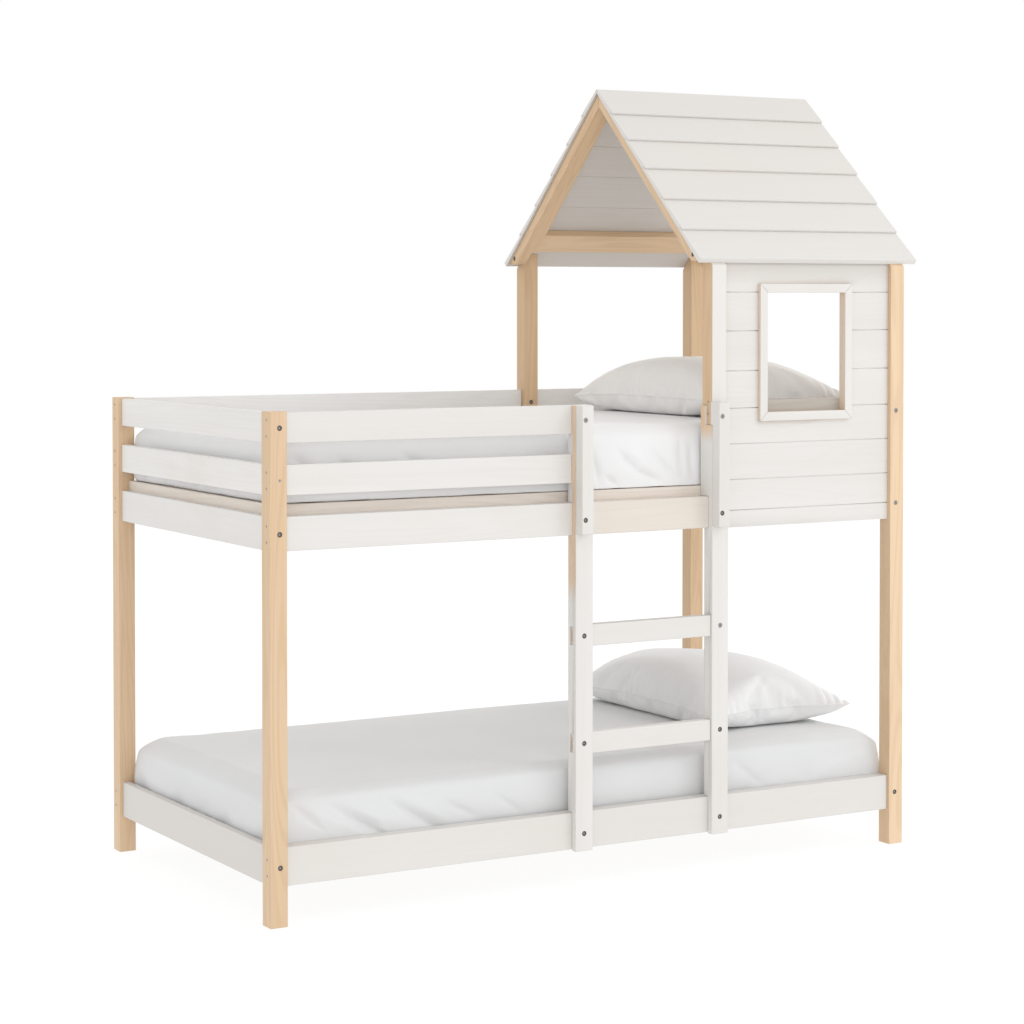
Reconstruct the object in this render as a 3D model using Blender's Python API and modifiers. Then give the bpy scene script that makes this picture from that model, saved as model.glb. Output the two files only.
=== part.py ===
"""House bunk bed: a wooden frame with a bolted ladder, a small pitched-roof house over the head end
of the upper bunk, two slat bases, two mattresses and two pillows.

Metres, +Z up. X runs along the bed from the foot to the head and Y from the ladder side to the back.
Every place below is measured from the outer corner of the foot post on the ladder side. The whole
bed hangs on one empty, which puts the middle of its footprint at the world's origin.
"""

import math

import bmesh
import bpy
from mathutils import Matrix, Vector
from mathutils.bvhtree import BVHTree

# Gaps, edges and cuts
TOUCH_GAP = 0.0003
CUT_OVERRUN = 0.010
WOOD_EDGE = 0.0015
FINE_EDGE = 0.0008
BEVEL_ANGLE = math.radians(25)
FLAT_ANGLE = math.radians(1)
WELD_DISTANCE = 0.00001

# Mattresses
MATTRESS_LENGTH = 2.000
MATTRESS_WIDTH = 1.000
MATTRESS_HEIGHT = 0.178
MATTRESS_CROWN = 0.008
MATTRESS_SOFTNESS = 0.060
MATTRESS_SIDE_CLEARANCE = 0.003
MATTRESS_END_CLEARANCE = 0.008
MATTRESS_SMOOTHING_COUNT = 2

# Pillows, which lie across the bed
PILLOW_LENGTH = 0.835
PILLOW_WIDTH = 0.530
PILLOW_TOP_LOFT = 0.115
PILLOW_BOTTOM_LOFT = 0.055
PILLOW_SEAM = 0.006
PILLOW_HEAD_CLEARANCE = 0.008
PILLOW_SIDE_SHIFT = 0.057
PILLOW_PINCH_SHARE = 0.07
PILLOW_ACROSS_COUNT = 5
PILLOW_ALONG_COUNT = 7
PILLOW_SMOOTHING_COUNT = 1

# Posts and the boards between them
POST_SIZE = 0.050
BOARD_THICKNESS = 0.022
BOARD_INSET = 0.010
LOWER_RAIL_BOTTOM = 0.105
LOWER_RAIL_HEIGHT = 0.102
UPPER_RAIL_BOTTOM = 0.979
UPPER_RAIL_HEIGHT = 0.090
GUARD_HEIGHT = 0.080
RAIL_TO_GUARD = 0.055
GUARD_TO_GUARD = 0.056
POST_ABOVE_GUARD = 0.003

# Slat bases
SLAT_MEMBER_WIDTH = 0.025
SLAT_MEMBER_HEIGHT = 0.052
SLAT_THICKNESS = 0.018
SLAT_WIDTH = 0.070
SLAT_COUNT = 14
LOWER_SLAT_LIFT = 0.003
UPPER_SLAT_RISE = 0.0285

# Ladder
UPRIGHT_WIDTH = 0.056
UPRIGHT_DEPTH = 0.042
UPRIGHT_PROUD = 0.021
UPRIGHT_DROP = 0.004
LADDER_CLEAR_WIDTH = 0.401
RUNG_HEIGHT = 0.060
RUNG_THICKNESS = 0.028
RUNG_SETBACK = 0.006
LOWER_RUNG_MIDDLE = 0.401
UPPER_RUNG_MIDDLE = 0.700
TENON_HEIGHT = 0.052
TENON_THICKNESS = 0.018
BATTEN_WIDTH = 0.037
BATTEN_DEPTH = 0.034
BATTEN_RISE = 0.0055

# House
HOUSE_LENGTH = 0.695
ROOF_PITCH = math.radians(43.5)
EAVE_RISE = 0.390
ROOF_END_OVERHANG = 0.044
EAVE_REACH = 0.004
ROOF_BOARD_THICKNESS = 0.016
ROOF_TONGUE_THICKNESS = 0.009
ROOF_LAP = 0.012
ROOF_COURSE_SHARES = (0.147, 0.159, 0.171, 0.179, 0.174, 0.170)
RAFTER_WIDTH = 0.055
RAFTER_THICKNESS = 0.030
RAFTER_PROUD = 0.036
RAFTER_TAIL_RISE = 0.012
RAFTER_NOTCH_CLEARANCE = 0.0015
PURLIN_WIDTH = 0.075
PURLIN_THICKNESS = 0.025
PURLIN_FROM_EAVE = 0.0735
POST_LAP_HEIGHT = 0.056
POST_LAP_DROP = 0.011

# Wall between the front house post and the front head post
WALL_INSET = 0.014
WALL_THICKNESS = 0.016
WALL_DROP = 0.003
WALL_TOP_CLEARANCE = 0.003
GROOVE_DEPTH = 0.0025
GROOVE_HALF_WIDTH = 0.0020
GROOVE_HEIGHT_SHARES = (0.064, 0.180, 0.3145, 0.4487, 0.5895, 0.7395, 0.8855)

# Window in the wall
WINDOW_WIDTH = 0.280
WINDOW_SHIFT = 0.0115
WINDOW_SILL_DROP = 0.034
WINDOW_TOP_MARGIN = 0.089
CASING_WIDTH = 0.026
CASING_PROUD = 0.013
JAMB_THICKNESS = 0.010

# Counterbores for bolts and screws
BOLT_BORE_RADIUS = 0.0075
BOLT_BORE_DEPTH = 0.0030
SCREW_BORE_RADIUS = 0.0040
SCREW_BORE_DEPTH = 0.0020
BORE_SIDES = 12
POST_BOLT_INSET = 0.029
POST_SCREW_INSET = 0.020
SCREW_HALF_SPACING = 0.021
BATTEN_BOLT_SHARE = 0.30
BATTEN_BOLT_INSET = 0.040
LADDER_FOOT_BOLT_RISE = 0.049
RAFTER_BOLT_INSET = 0.047
RAFTER_BOLT_DROP = 0.014
POST_HOLE_SPACING = 0.034

# Sizes that follow from the ones above
BED_LENGTH = MATTRESS_LENGTH + 2 * (BOARD_INSET + BOARD_THICKNESS + MATTRESS_END_CLEARANCE)
BED_WIDTH = MATTRESS_WIDTH + 2 * (POST_SIZE + MATTRESS_SIDE_CLEARANCE)
LOWER_RAIL_TOP = LOWER_RAIL_BOTTOM + LOWER_RAIL_HEIGHT
UPPER_RAIL_TOP = UPPER_RAIL_BOTTOM + UPPER_RAIL_HEIGHT
MIDDLE_GUARD_BOTTOM = UPPER_RAIL_TOP + RAIL_TO_GUARD
TOP_GUARD_BOTTOM = MIDDLE_GUARD_BOTTOM + GUARD_HEIGHT + GUARD_TO_GUARD
TOP_GUARD_TOP = TOP_GUARD_BOTTOM + GUARD_HEIGHT
FOOT_POST_HEIGHT = TOP_GUARD_TOP + POST_ABOVE_GUARD
HOUSE_START = BED_LENGTH - HOUSE_LENGTH
HOUSE_MIDDLE = (HOUSE_START + BED_LENGTH) / 2
RIGHT_UPRIGHT_START = HOUSE_START + POST_SIZE - UPRIGHT_WIDTH
LEFT_UPRIGHT_START = RIGHT_UPRIGHT_START - LADDER_CLEAR_WIDTH - UPRIGHT_WIDTH
UPRIGHT_FRONT = BOARD_INSET - UPRIGHT_PROUD
UPRIGHT_BACK = UPRIGHT_FRONT + UPRIGHT_DEPTH
UPRIGHT_BOTTOM = LOWER_RAIL_BOTTOM - UPRIGHT_DROP
BATTEN_FRONT = UPRIGHT_FRONT - BATTEN_DEPTH
BATTEN_BOTTOM = UPPER_RAIL_BOTTOM + BATTEN_RISE
BATTEN_TOP = TOP_GUARD_TOP
POST_LAP_DEPTH = POST_SIZE / 2
POST_LAP_TOP = TOP_GUARD_TOP - POST_LAP_DROP
POST_LAP_BOTTOM = POST_LAP_TOP - POST_LAP_HEIGHT
WALL_BACK = WALL_INSET + WALL_THICKNESS
WALL_START = HOUSE_START + POST_SIZE + TOUCH_GAP
WALL_END = BED_LENGTH - POST_SIZE - TOUCH_GAP
WALL_BOTTOM = UPPER_RAIL_BOTTOM - WALL_DROP
WINDOW_MIDDLE = (WALL_START + WALL_END) / 2 - WINDOW_SHIFT
LOWER_SLAT_BOTTOM = LOWER_RAIL_BOTTOM + LOWER_SLAT_LIFT
UPPER_SLAT_BOTTOM = UPPER_RAIL_TOP + UPPER_SLAT_RISE - SLAT_MEMBER_HEIGHT

# Roof geometry, in a frame that lies on one slope: its zero is on the ridge at the boards'
# underside, along runs up the slope and rise stands square to it. The eaves' height is that of
# the underside over the posts' outer faces, and the ridge follows from it
SLOPE_SINE = math.sin(ROOF_PITCH)
SLOPE_COSINE = math.cos(ROOF_PITCH)
SLOPE_TANGENT = math.tan(ROOF_PITCH)
ROOF_LINE = TOP_GUARD_TOP + EAVE_RISE + BED_WIDTH / 2 * SLOPE_TANGENT
EAVE_CORNER = (ROOF_BOARD_THICKNESS - FINE_EDGE) * SLOPE_SINE
EAVE_ALONG = (EAVE_CORNER - BED_WIDTH / 2 - EAVE_REACH) / SLOPE_COSINE
RIDGE_GAP = TOUCH_GAP / SLOPE_COSINE

# Colours and finish: red, green, blue, then roughness
WHITE_PAINT = ((0.84, 0.82, 0.79), 0.45)
PINE = ((0.74, 0.55, 0.36), 0.55)
BEDDING = ((0.86, 0.86, 0.86), 0.85)


def underside_height(distance):
    """Height of the roof boards' underside at a distance inside the posts' outer faces."""
    return ROOF_LINE - (BED_WIDTH / 2 - distance) * SLOPE_TANGENT


WALL_TOP = underside_height(WALL_INSET) - WALL_TOP_CLEARANCE
WINDOW_SILL = TOP_GUARD_TOP - WINDOW_SILL_DROP
WINDOW_HEIGHT = WALL_TOP - WINDOW_TOP_MARGIN - WINDOW_SILL
RAFTER_TAIL = underside_height(0) + RAFTER_TAIL_RISE
RAFTER_NOTCH_TOP = underside_height(POST_SIZE) + RAFTER_NOTCH_CLEARANCE


def clear_scene():
    for obj in list(bpy.data.objects):
        bpy.data.objects.remove(obj)


def add_collection(name):
    collection = bpy.data.collections.new(name)
    bpy.context.scene.collection.children.link(collection)
    return collection


def add_footprint_empty():
    """The empty that carries the bed, placed so that the footprint's middle is the world's origin."""
    empty = bpy.data.objects.new("footprint_middle", None)
    middle_x = (BED_LENGTH + ROOF_END_OVERHANG) / 2
    middle_y = (BED_WIDTH + EAVE_REACH + BATTEN_FRONT) / 2
    empty.location = (-middle_x, -middle_y, 0)
    bpy.context.scene.collection.objects.link(empty)
    return empty


clear_scene()
BED_PIECES = add_collection("house_bunk_bed")
CUTTERS = add_collection("cutters")
FOOTPRINT = add_footprint_empty()


def add_object(name, bm, place, collection):
    mesh = bpy.data.meshes.new(name)
    bmesh.ops.recalc_face_normals(bm, faces=bm.faces)
    bm.to_mesh(mesh)
    bm.free()
    obj = bpy.data.objects.new(name, mesh)
    obj.location = place
    obj.parent = FOOTPRINT
    collection.objects.link(obj)
    return obj


def give_finish(obj, finish):
    colour, roughness = finish
    material = bpy.data.materials.new(obj.name)
    material.use_nodes = True
    shader = material.node_tree.nodes["Principled BSDF"]
    shader.inputs["Base Color"].default_value = (*colour, 1)
    shader.inputs["Roughness"].default_value = roughness
    shader.inputs["Metallic"].default_value = 0
    obj.data.materials.append(material)


def soften_edges(obj, width):
    bevel = obj.modifiers.new("softened edges", "BEVEL")
    bevel.width = width
    bevel.segments = 1
    bevel.limit_method = "ANGLE"
    bevel.angle_limit = BEVEL_ANGLE


def box_between(x, y, z):
    """A box as a mesh around its own middle, with that middle's place."""
    low = Vector((x[0], y[0], z[0]))
    high = Vector((x[1], y[1], z[1]))
    bm = bmesh.new()
    bmesh.ops.create_cube(bm, size=1, matrix=Matrix.Diagonal((*(high - low), 1)))
    return bm, (low + high) / 2


def add_board(name, x, y, z, finish):
    """A straight piece of wood between two places on each axis."""
    bm, middle = box_between(x, y, z)
    obj = add_object(name, bm, middle, BED_PIECES)
    soften_edges(obj, WOOD_EDGE)
    give_finish(obj, finish)
    return obj


def extruded(outline, start, end):
    """A flat outline in Y and Z, drawn out along X from start to end."""
    curve = bpy.data.curves.new("outline", "CURVE")
    curve.dimensions = "2D"
    curve.fill_mode = "BOTH"
    curve.extrude = (end - start) / 2
    spline = curve.splines.new("POLY")
    spline.points.add(len(outline) - 1)
    for point, (y, z) in zip(spline.points, outline):
        point.co = (y, z, 0, 1)
    spline.use_cyclic_u = True
    sketch = bpy.data.objects.new("outline", curve)
    bpy.context.scene.collection.objects.link(sketch)
    graph = bpy.context.evaluated_depsgraph_get()
    mesh = bpy.data.meshes.new_from_object(sketch.evaluated_get(graph))
    bpy.data.curves.remove(curve)
    bm = bmesh.new()
    bm.from_mesh(mesh)
    bpy.data.meshes.remove(mesh)
    bmesh.ops.remove_doubles(bm, verts=bm.verts, dist=WELD_DISTANCE)
    bmesh.ops.dissolve_limit(bm, angle_limit=FLAT_ANGLE, verts=bm.verts, edges=bm.edges)
    upright = Matrix(((0, 0, 1, (start + end) / 2), (1, 0, 0, 0), (0, 1, 0, 0), (0, 0, 0, 1)))
    bmesh.ops.transform(bm, matrix=upright, verts=bm.verts)
    return bm


def add_profile(name, outline, x, finish, edge=WOOD_EDGE):
    """A piece that has one outline in Y and Z all along its run in X."""
    middle = Vector(((x[0] + x[1]) / 2, outline[0][0], outline[0][1]))
    local = [(y - middle.y, z - middle.z) for y, z in outline]
    bm = extruded(local, x[0] - middle.x, x[1] - middle.x)
    obj = add_object(name, bm, middle, BED_PIECES)
    soften_edges(obj, edge)
    give_finish(obj, finish)
    return obj


def add_slope_profile(name, outline, x, behind, finish, edge):
    """A piece on one roof slope. Its outline is in along and rise, its x from the house's middle.

    The back slope is the front one turned half round about the house's upright middle line.
    """
    start, end = (-x[1], -x[0]) if behind else x
    bm = extruded(outline, start, end)
    obj = add_object(name, bm, (HOUSE_MIDDLE, BED_WIDTH / 2, ROOF_LINE), BED_PIECES)
    obj.rotation_euler = (ROOF_PITCH, 0, math.pi if behind else 0)
    soften_edges(obj, edge)
    give_finish(obj, finish)
    return obj


def to_back(outline):
    """The same outline on the other side of the bed's middle."""
    return [(BED_WIDTH - y, z) for y, z in outline]


def add_cutter(name, bm, place):
    cutter = add_object(name, bm, place, CUTTERS)
    cutter.hide_render = True
    cutter.display_type = "WIRE"
    return cutter


def combine(obj, other, operation):
    boolean = obj.modifiers.new(other.name, "BOOLEAN")
    boolean.operation = operation
    boolean.solver = "EXACT"
    boolean.object = other


def cut_box(obj, purpose, x, y, z):
    bm, middle = box_between(x, y, z)
    combine(obj, add_cutter(obj.name + "_" + purpose, bm, middle), "DIFFERENCE")


def cut_bores(obj, purpose, points, inward, radius, depth):
    """Round counterbores at points on a flat face, going in along the inward direction."""
    inward = Vector(inward)
    turn = inward.to_track_quat("Z", "Y").to_matrix().to_4x4()
    bm = bmesh.new()
    for point in points:
        middle = Vector(point) + inward * (depth - CUT_OVERRUN) / 2
        bmesh.ops.create_cone(
            bm,
            cap_ends=True,
            segments=BORE_SIDES,
            radius1=radius,
            radius2=radius,
            depth=depth + CUT_OVERRUN,
            matrix=Matrix.Translation(middle) @ turn,
        )
    cutter = add_cutter(obj.name + "_" + purpose, bm, (0, 0, 0))
    combine(obj, cutter, "DIFFERENCE")


def cut_bolts(obj, points, inward):
    cut_bores(obj, "bolts", points, inward, BOLT_BORE_RADIUS, BOLT_BORE_DEPTH)


def cut_screws(obj, points, inward):
    cut_bores(obj, "screws", points, inward, SCREW_BORE_RADIUS, SCREW_BORE_DEPTH)


# Posts: a bolt into each end board, and two screws into each long board or rail


def board_middles(with_middle_guard):
    """Heights of the middles of the boards that meet a post, from the lowest up."""
    middles = [
        LOWER_RAIL_BOTTOM + LOWER_RAIL_HEIGHT / 2,
        UPPER_RAIL_BOTTOM + UPPER_RAIL_HEIGHT / 2,
        TOP_GUARD_BOTTOM + GUARD_HEIGHT / 2,
    ]
    if with_middle_guard:
        middles.insert(2, MIDDLE_GUARD_BOTTOM + GUARD_HEIGHT / 2)
    return middles


def drill_post(obj, at_foot, at_front):
    """Bolt counterbores on the post's long side and screw counterbores on its end side."""
    end_face = 0 if at_foot else BED_LENGTH
    side_face = 0 if at_front else BED_WIDTH
    along = 1 if at_foot else -1
    across = 1 if at_front else -1
    bolt_x = end_face + along * POST_BOLT_INSET
    screw_y = side_face + across * POST_SCREW_INSET
    bolts = [(bolt_x, side_face, height) for height in board_middles(False)]
    screws = [
        (end_face, screw_y, height + offset)
        for height in board_middles(at_foot)
        for offset in (-SCREW_HALF_SPACING, SCREW_HALF_SPACING)
    ]
    cut_bolts(obj, bolts, (0, across, 0))
    cut_screws(obj, screws, (along, 0, 0))
    if at_foot:
        plug = (bolt_x, side_face, MIDDLE_GUARD_BOTTOM + GUARD_HEIGHT / 2)
        cut_bores(obj, "plug", [plug], (0, across, 0), SCREW_BORE_RADIUS, SCREW_BORE_DEPTH)


def roofed_outline(bottom):
    """A post's side outline whose top follows the roof boards' underside."""
    outer_top = underside_height(0) - TOUCH_GAP
    inner_top = underside_height(POST_SIZE) - TOUCH_GAP
    return [(0, bottom), (POST_SIZE, bottom), (POST_SIZE, inner_top), (0, outer_top)]


def add_corner_posts():
    foot_x = (0, POST_SIZE)
    head_x = (BED_LENGTH - POST_SIZE, BED_LENGTH)
    height = (0, FOOT_POST_HEIGHT)
    front = add_board("post_foot_front", foot_x, (0, POST_SIZE), height, PINE)
    back = add_board("post_foot_back", foot_x, (BED_WIDTH - POST_SIZE, BED_WIDTH), height, PINE)
    drill_post(front, True, True)
    drill_post(back, True, False)
    head_front = add_profile("post_head_front", roofed_outline(0), head_x, PINE)
    head_back = add_profile("post_head_back", to_back(roofed_outline(0)), head_x, PINE)
    drill_post(head_front, False, True)
    drill_post(head_back, False, False)


def add_house_posts():
    """The front post stands on the ladder's right upright, the back one on the back side rail."""
    post_x = (HOUSE_START, HOUSE_START + POST_SIZE)
    top = roofed_outline(POST_LAP_BOTTOM)[2:]
    stepped = [
        (0, POST_LAP_BOTTOM),
        (POST_LAP_DEPTH, POST_LAP_BOTTOM),
        (POST_LAP_DEPTH, POST_LAP_TOP),
        (POST_SIZE, POST_LAP_TOP),
        *top,
    ]
    front = add_profile("house_post_front", stepped, post_x, PINE)
    first_hole = (POST_LAP_BOTTOM + POST_LAP_TOP) / 2 + SCREW_BORE_RADIUS
    holes = [
        (HOUSE_START, POST_SCREW_INSET, first_hole + step * POST_HOLE_SPACING)
        for step in (0, 1)
    ]
    cut_screws(front, holes, (1, 0, 0))
    back_outline = to_back(roofed_outline(UPPER_RAIL_TOP + TOUCH_GAP))
    back = add_profile("house_post_back", back_outline, post_x, PINE)
    bolt = (
        HOUSE_START + POST_SIZE / 2,
        BED_WIDTH - POST_SIZE,
        TOP_GUARD_BOTTOM + GUARD_HEIGHT / 2,
    )
    cut_bolts(back, [bolt], (0, 1, 0))


# Rails and guards

LONG_X = (POST_SIZE + TOUCH_GAP, BED_LENGTH - POST_SIZE - TOUCH_GAP)
CROSS_Y = (POST_SIZE + TOUCH_GAP, BED_WIDTH - POST_SIZE - TOUCH_GAP)
FOOT_X = (BOARD_INSET, BOARD_INSET + BOARD_THICKNESS)
HEAD_X = (BED_LENGTH - BOARD_INSET - BOARD_THICKNESS, BED_LENGTH - BOARD_INSET)
FRONT_RAIL_Y = (BOARD_INSET, POST_SIZE)
BACK_RAIL_Y = (BED_WIDTH - POST_SIZE, BED_WIDTH - BOARD_INSET)
FRONT_GUARD_Y = (BOARD_INSET, BOARD_INSET + BOARD_THICKNESS)
BACK_GUARD_Y = (BED_WIDTH - BOARD_INSET - BOARD_THICKNESS, BED_WIDTH - BOARD_INSET)


def add_rails():
    levels = (
        ("lower", (LOWER_RAIL_BOTTOM, LOWER_RAIL_TOP)),
        ("upper", (UPPER_RAIL_BOTTOM, UPPER_RAIL_TOP)),
    )
    for level, height in levels:
        front = add_board(level + "_rail_front", LONG_X, FRONT_RAIL_Y, height, WHITE_PAINT)
        add_board(level + "_rail_back", LONG_X, BACK_RAIL_Y, height, WHITE_PAINT)
        add_board(level + "_rail_foot", FOOT_X, CROSS_Y, height, WHITE_PAINT)
        add_board(level + "_rail_head", HEAD_X, CROSS_Y, height, WHITE_PAINT)
    cut_box(
        front,
        "wall_rebate",
        (WALL_START - TOUCH_GAP, BED_LENGTH),
        (BOARD_INSET - CUT_OVERRUN, WALL_BACK + TOUCH_GAP),
        (UPPER_RAIL_BOTTOM - CUT_OVERRUN, UPPER_RAIL_TOP + CUT_OVERRUN),
    )


def add_guards():
    """Two boards high: the front stops at the ladder, the back is in two lengths at the house post."""
    levels = (("middle", MIDDLE_GUARD_BOTTOM), ("top", TOP_GUARD_BOTTOM))
    front_x = (LONG_X[0], LEFT_UPRIGHT_START - TOUCH_GAP)
    back_open_x = (LONG_X[0], HOUSE_START - TOUCH_GAP)
    back_house_x = (WALL_START, WALL_END)
    for level, bottom in levels:
        height = (bottom, bottom + GUARD_HEIGHT)
        add_board("guard_front_" + level, front_x, FRONT_GUARD_Y, height, WHITE_PAINT)
        add_board("guard_foot_" + level, FOOT_X, CROSS_Y, height, WHITE_PAINT)
        add_board("guard_head_" + level, HEAD_X, CROSS_Y, height, WHITE_PAINT)
        add_board("guard_back_" + level, back_open_x, BACK_GUARD_Y, height, WHITE_PAINT)
        add_board("guard_house_" + level, back_house_x, BACK_GUARD_Y, height, WHITE_PAINT)


# Slat bases: two side members, two end members and the slats between them, all one piece


def add_slat_base(name, bottom):
    x = (FOOT_X[1] + TOUCH_GAP, HEAD_X[0] - TOUCH_GAP)
    y = CROSS_Y
    top = bottom + SLAT_MEMBER_HEIGHT
    obj = add_board(name, x, y, (bottom, top), PINE)
    inner_x = (x[0] + SLAT_MEMBER_WIDTH, x[1] - SLAT_MEMBER_WIDTH)
    inner_y = (y[0] + SLAT_MEMBER_WIDTH, y[1] - SLAT_MEMBER_WIDTH)
    under = (bottom - CUT_OVERRUN, top - SLAT_THICKNESS)
    cut_box(obj, "underside", inner_x, inner_y, under)
    gap = (inner_x[1] - inner_x[0] - SLAT_COUNT * SLAT_WIDTH) / (SLAT_COUNT + 1)
    middle = (y[0] + y[1]) / 2
    bm = bmesh.new()
    for index in range(SLAT_COUNT + 1):
        start = inner_x[0] + index * (gap + SLAT_WIDTH)
        place = Matrix.Translation((start + gap / 2, middle, top))
        size = Matrix.Diagonal((gap, inner_y[1] - inner_y[0], 2 * SLAT_THICKNESS + CUT_OVERRUN, 1))
        bmesh.ops.create_cube(bm, size=1, matrix=place @ size)
    combine(obj, add_cutter(name + "_slat_gaps", bm, (0, 0, 0)), "DIFFERENCE")


# Ladder: half-lapped uprights, rungs with through-tenons, splice battens over the upper joints


def upright_back_outline(back_steps):
    """The back edge of an upright from its top down, with its laps over the two side rails."""
    lap = BOARD_INSET - TOUCH_GAP
    return [
        *back_steps,
        (lap, UPPER_RAIL_TOP + TOUCH_GAP),
        (lap, UPPER_RAIL_BOTTOM - TOUCH_GAP),
        (UPRIGHT_BACK, UPPER_RAIL_BOTTOM - TOUCH_GAP),
        (UPRIGHT_BACK, LOWER_RAIL_TOP + TOUCH_GAP),
        (lap, LOWER_RAIL_TOP + TOUCH_GAP),
        (lap, UPRIGHT_BOTTOM),
        (UPRIGHT_FRONT, UPRIGHT_BOTTOM),
    ]


def tenon_range():
    front = UPRIGHT_FRONT + RUNG_SETBACK + (RUNG_THICKNESS - TENON_THICKNESS) / 2
    return front, front + TENON_THICKNESS


def add_upright(name, outline, start):
    obj = add_profile(name, outline, (start, start + UPRIGHT_WIDTH), WHITE_PAINT)
    front, back = tenon_range()
    for rung, middle in (("lower", LOWER_RUNG_MIDDLE), ("upper", UPPER_RUNG_MIDDLE)):
        half = TENON_HEIGHT / 2 + TOUCH_GAP
        cut_box(
            obj,
            rung + "_mortise",
            (start - CUT_OVERRUN, start + UPRIGHT_WIDTH + CUT_OVERRUN),
            (front - TOUCH_GAP, back + TOUCH_GAP),
            (middle - half, middle + half),
        )
    heights = (UPRIGHT_BOTTOM + LADDER_FOOT_BOLT_RISE, LOWER_RUNG_MIDDLE, UPPER_RUNG_MIDDLE)
    middle_x = start + UPRIGHT_WIDTH / 2
    cut_bolts(obj, [(middle_x, UPRIGHT_FRONT, height) for height in heights], (0, 1, 0))


def add_uprights():
    plain_top = [
        (UPRIGHT_FRONT, TOP_GUARD_TOP),
        (UPRIGHT_BACK, TOP_GUARD_TOP),
        (UPRIGHT_BACK, UPPER_RAIL_TOP + TOUCH_GAP),
    ]
    add_upright("ladder_upright_left", upright_back_outline(plain_top), LEFT_UPRIGHT_START)
    lapped_top = [
        (UPRIGHT_FRONT, POST_LAP_BOTTOM - TOUCH_GAP),
        (POST_LAP_DEPTH + TOUCH_GAP, POST_LAP_BOTTOM - TOUCH_GAP),
        (POST_LAP_DEPTH + TOUCH_GAP, POST_LAP_TOP - TOUCH_GAP),
        (POST_SIZE, POST_LAP_TOP - TOUCH_GAP),
        (POST_SIZE, UPPER_RAIL_TOP + TOUCH_GAP),
    ]
    add_upright("ladder_upright_right", upright_back_outline(lapped_top), RIGHT_UPRIGHT_START)


def add_rungs():
    body_x = (
        LEFT_UPRIGHT_START + UPRIGHT_WIDTH + TOUCH_GAP,
        RIGHT_UPRIGHT_START - TOUCH_GAP,
    )
    body_y = (UPRIGHT_FRONT + RUNG_SETBACK, UPRIGHT_FRONT + RUNG_SETBACK + RUNG_THICKNESS)
    tenon_x = (LEFT_UPRIGHT_START, RIGHT_UPRIGHT_START + UPRIGHT_WIDTH)
    for rung, middle in (("lower", LOWER_RUNG_MIDDLE), ("upper", UPPER_RUNG_MIDDLE)):
        name = "ladder_rung_" + rung
        height = (middle - RUNG_HEIGHT / 2, middle + RUNG_HEIGHT / 2)
        obj = add_board(name, body_x, body_y, height, WHITE_PAINT)
        tenon_z = (middle - TENON_HEIGHT / 2, middle + TENON_HEIGHT / 2)
        bm, place = box_between(tenon_x, tenon_range(), tenon_z)
        combine(obj, add_cutter(name + "_tenons", bm, place), "UNION")


def add_battens():
    """The right batten is thicker at its top, where it bears on the house post behind the upright."""
    back = UPRIGHT_FRONT - TOUCH_GAP
    plain = [
        (BATTEN_FRONT, BATTEN_BOTTOM),
        (back, BATTEN_BOTTOM),
        (back, BATTEN_TOP),
        (BATTEN_FRONT, BATTEN_TOP),
    ]
    stepped = [
        (BATTEN_FRONT, BATTEN_BOTTOM),
        (back, BATTEN_BOTTOM),
        (back, POST_LAP_BOTTOM + TOUCH_GAP),
        (-TOUCH_GAP, POST_LAP_BOTTOM + TOUCH_GAP),
        (-TOUCH_GAP, BATTEN_TOP),
        (BATTEN_FRONT, BATTEN_TOP),
    ]
    heights = (BATTEN_BOTTOM + BATTEN_BOLT_INSET, BATTEN_TOP - BATTEN_BOLT_INSET)
    battens = (
        ("splice_batten_left", plain, LEFT_UPRIGHT_START),
        ("splice_batten_right", stepped, RIGHT_UPRIGHT_START),
    )
    for name, outline, start in battens:
        obj = add_profile(name, outline, (start, start + BATTEN_WIDTH), WHITE_PAINT)
        bolt_x = start + BATTEN_WIDTH * BATTEN_BOLT_SHARE
        cut_bolts(obj, [(bolt_x, BATTEN_FRONT, height) for height in heights], (0, 1, 0))


# Wall, its inner rail and its window


def grooved_outline():
    """The wall's section: flat behind, with a V groove at each joint between its boards."""
    height = WALL_TOP - WALL_BOTTOM
    outline = [(WALL_BACK, WALL_TOP), (WALL_BACK, WALL_BOTTOM), (WALL_INSET, WALL_BOTTOM)]
    for share in GROOVE_HEIGHT_SHARES:
        middle = WALL_BOTTOM + share * height
        outline.append((WALL_INSET, middle - GROOVE_HALF_WIDTH))
        outline.append((WALL_INSET + GROOVE_DEPTH, middle))
        outline.append((WALL_INSET, middle + GROOVE_HALF_WIDTH))
    outline.append((WALL_INSET, WALL_TOP))
    return outline


def add_wall():
    bm = extruded(grooved_outline(), WALL_START, WALL_END)
    obj = add_object("wall_panel", bm, (0, 0, 0), BED_PIECES)
    give_finish(obj, WHITE_PAINT)
    margin = JAMB_THICKNESS + FINE_EDGE + TOUCH_GAP
    cut_box(
        obj,
        "window",
        (WINDOW_MIDDLE - WINDOW_WIDTH / 2 - margin, WINDOW_MIDDLE + WINDOW_WIDTH / 2 + margin),
        (WALL_INSET - CUT_OVERRUN, WALL_BACK + CUT_OVERRUN),
        (WINDOW_SILL - margin, WINDOW_SILL + WINDOW_HEIGHT + margin),
    )
    add_board(
        "wall_rail",
        (WALL_START, WALL_END),
        (WALL_BACK + TOUCH_GAP, POST_SIZE),
        (TOP_GUARD_BOTTOM, TOP_GUARD_TOP),
        PINE,
    )


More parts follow.
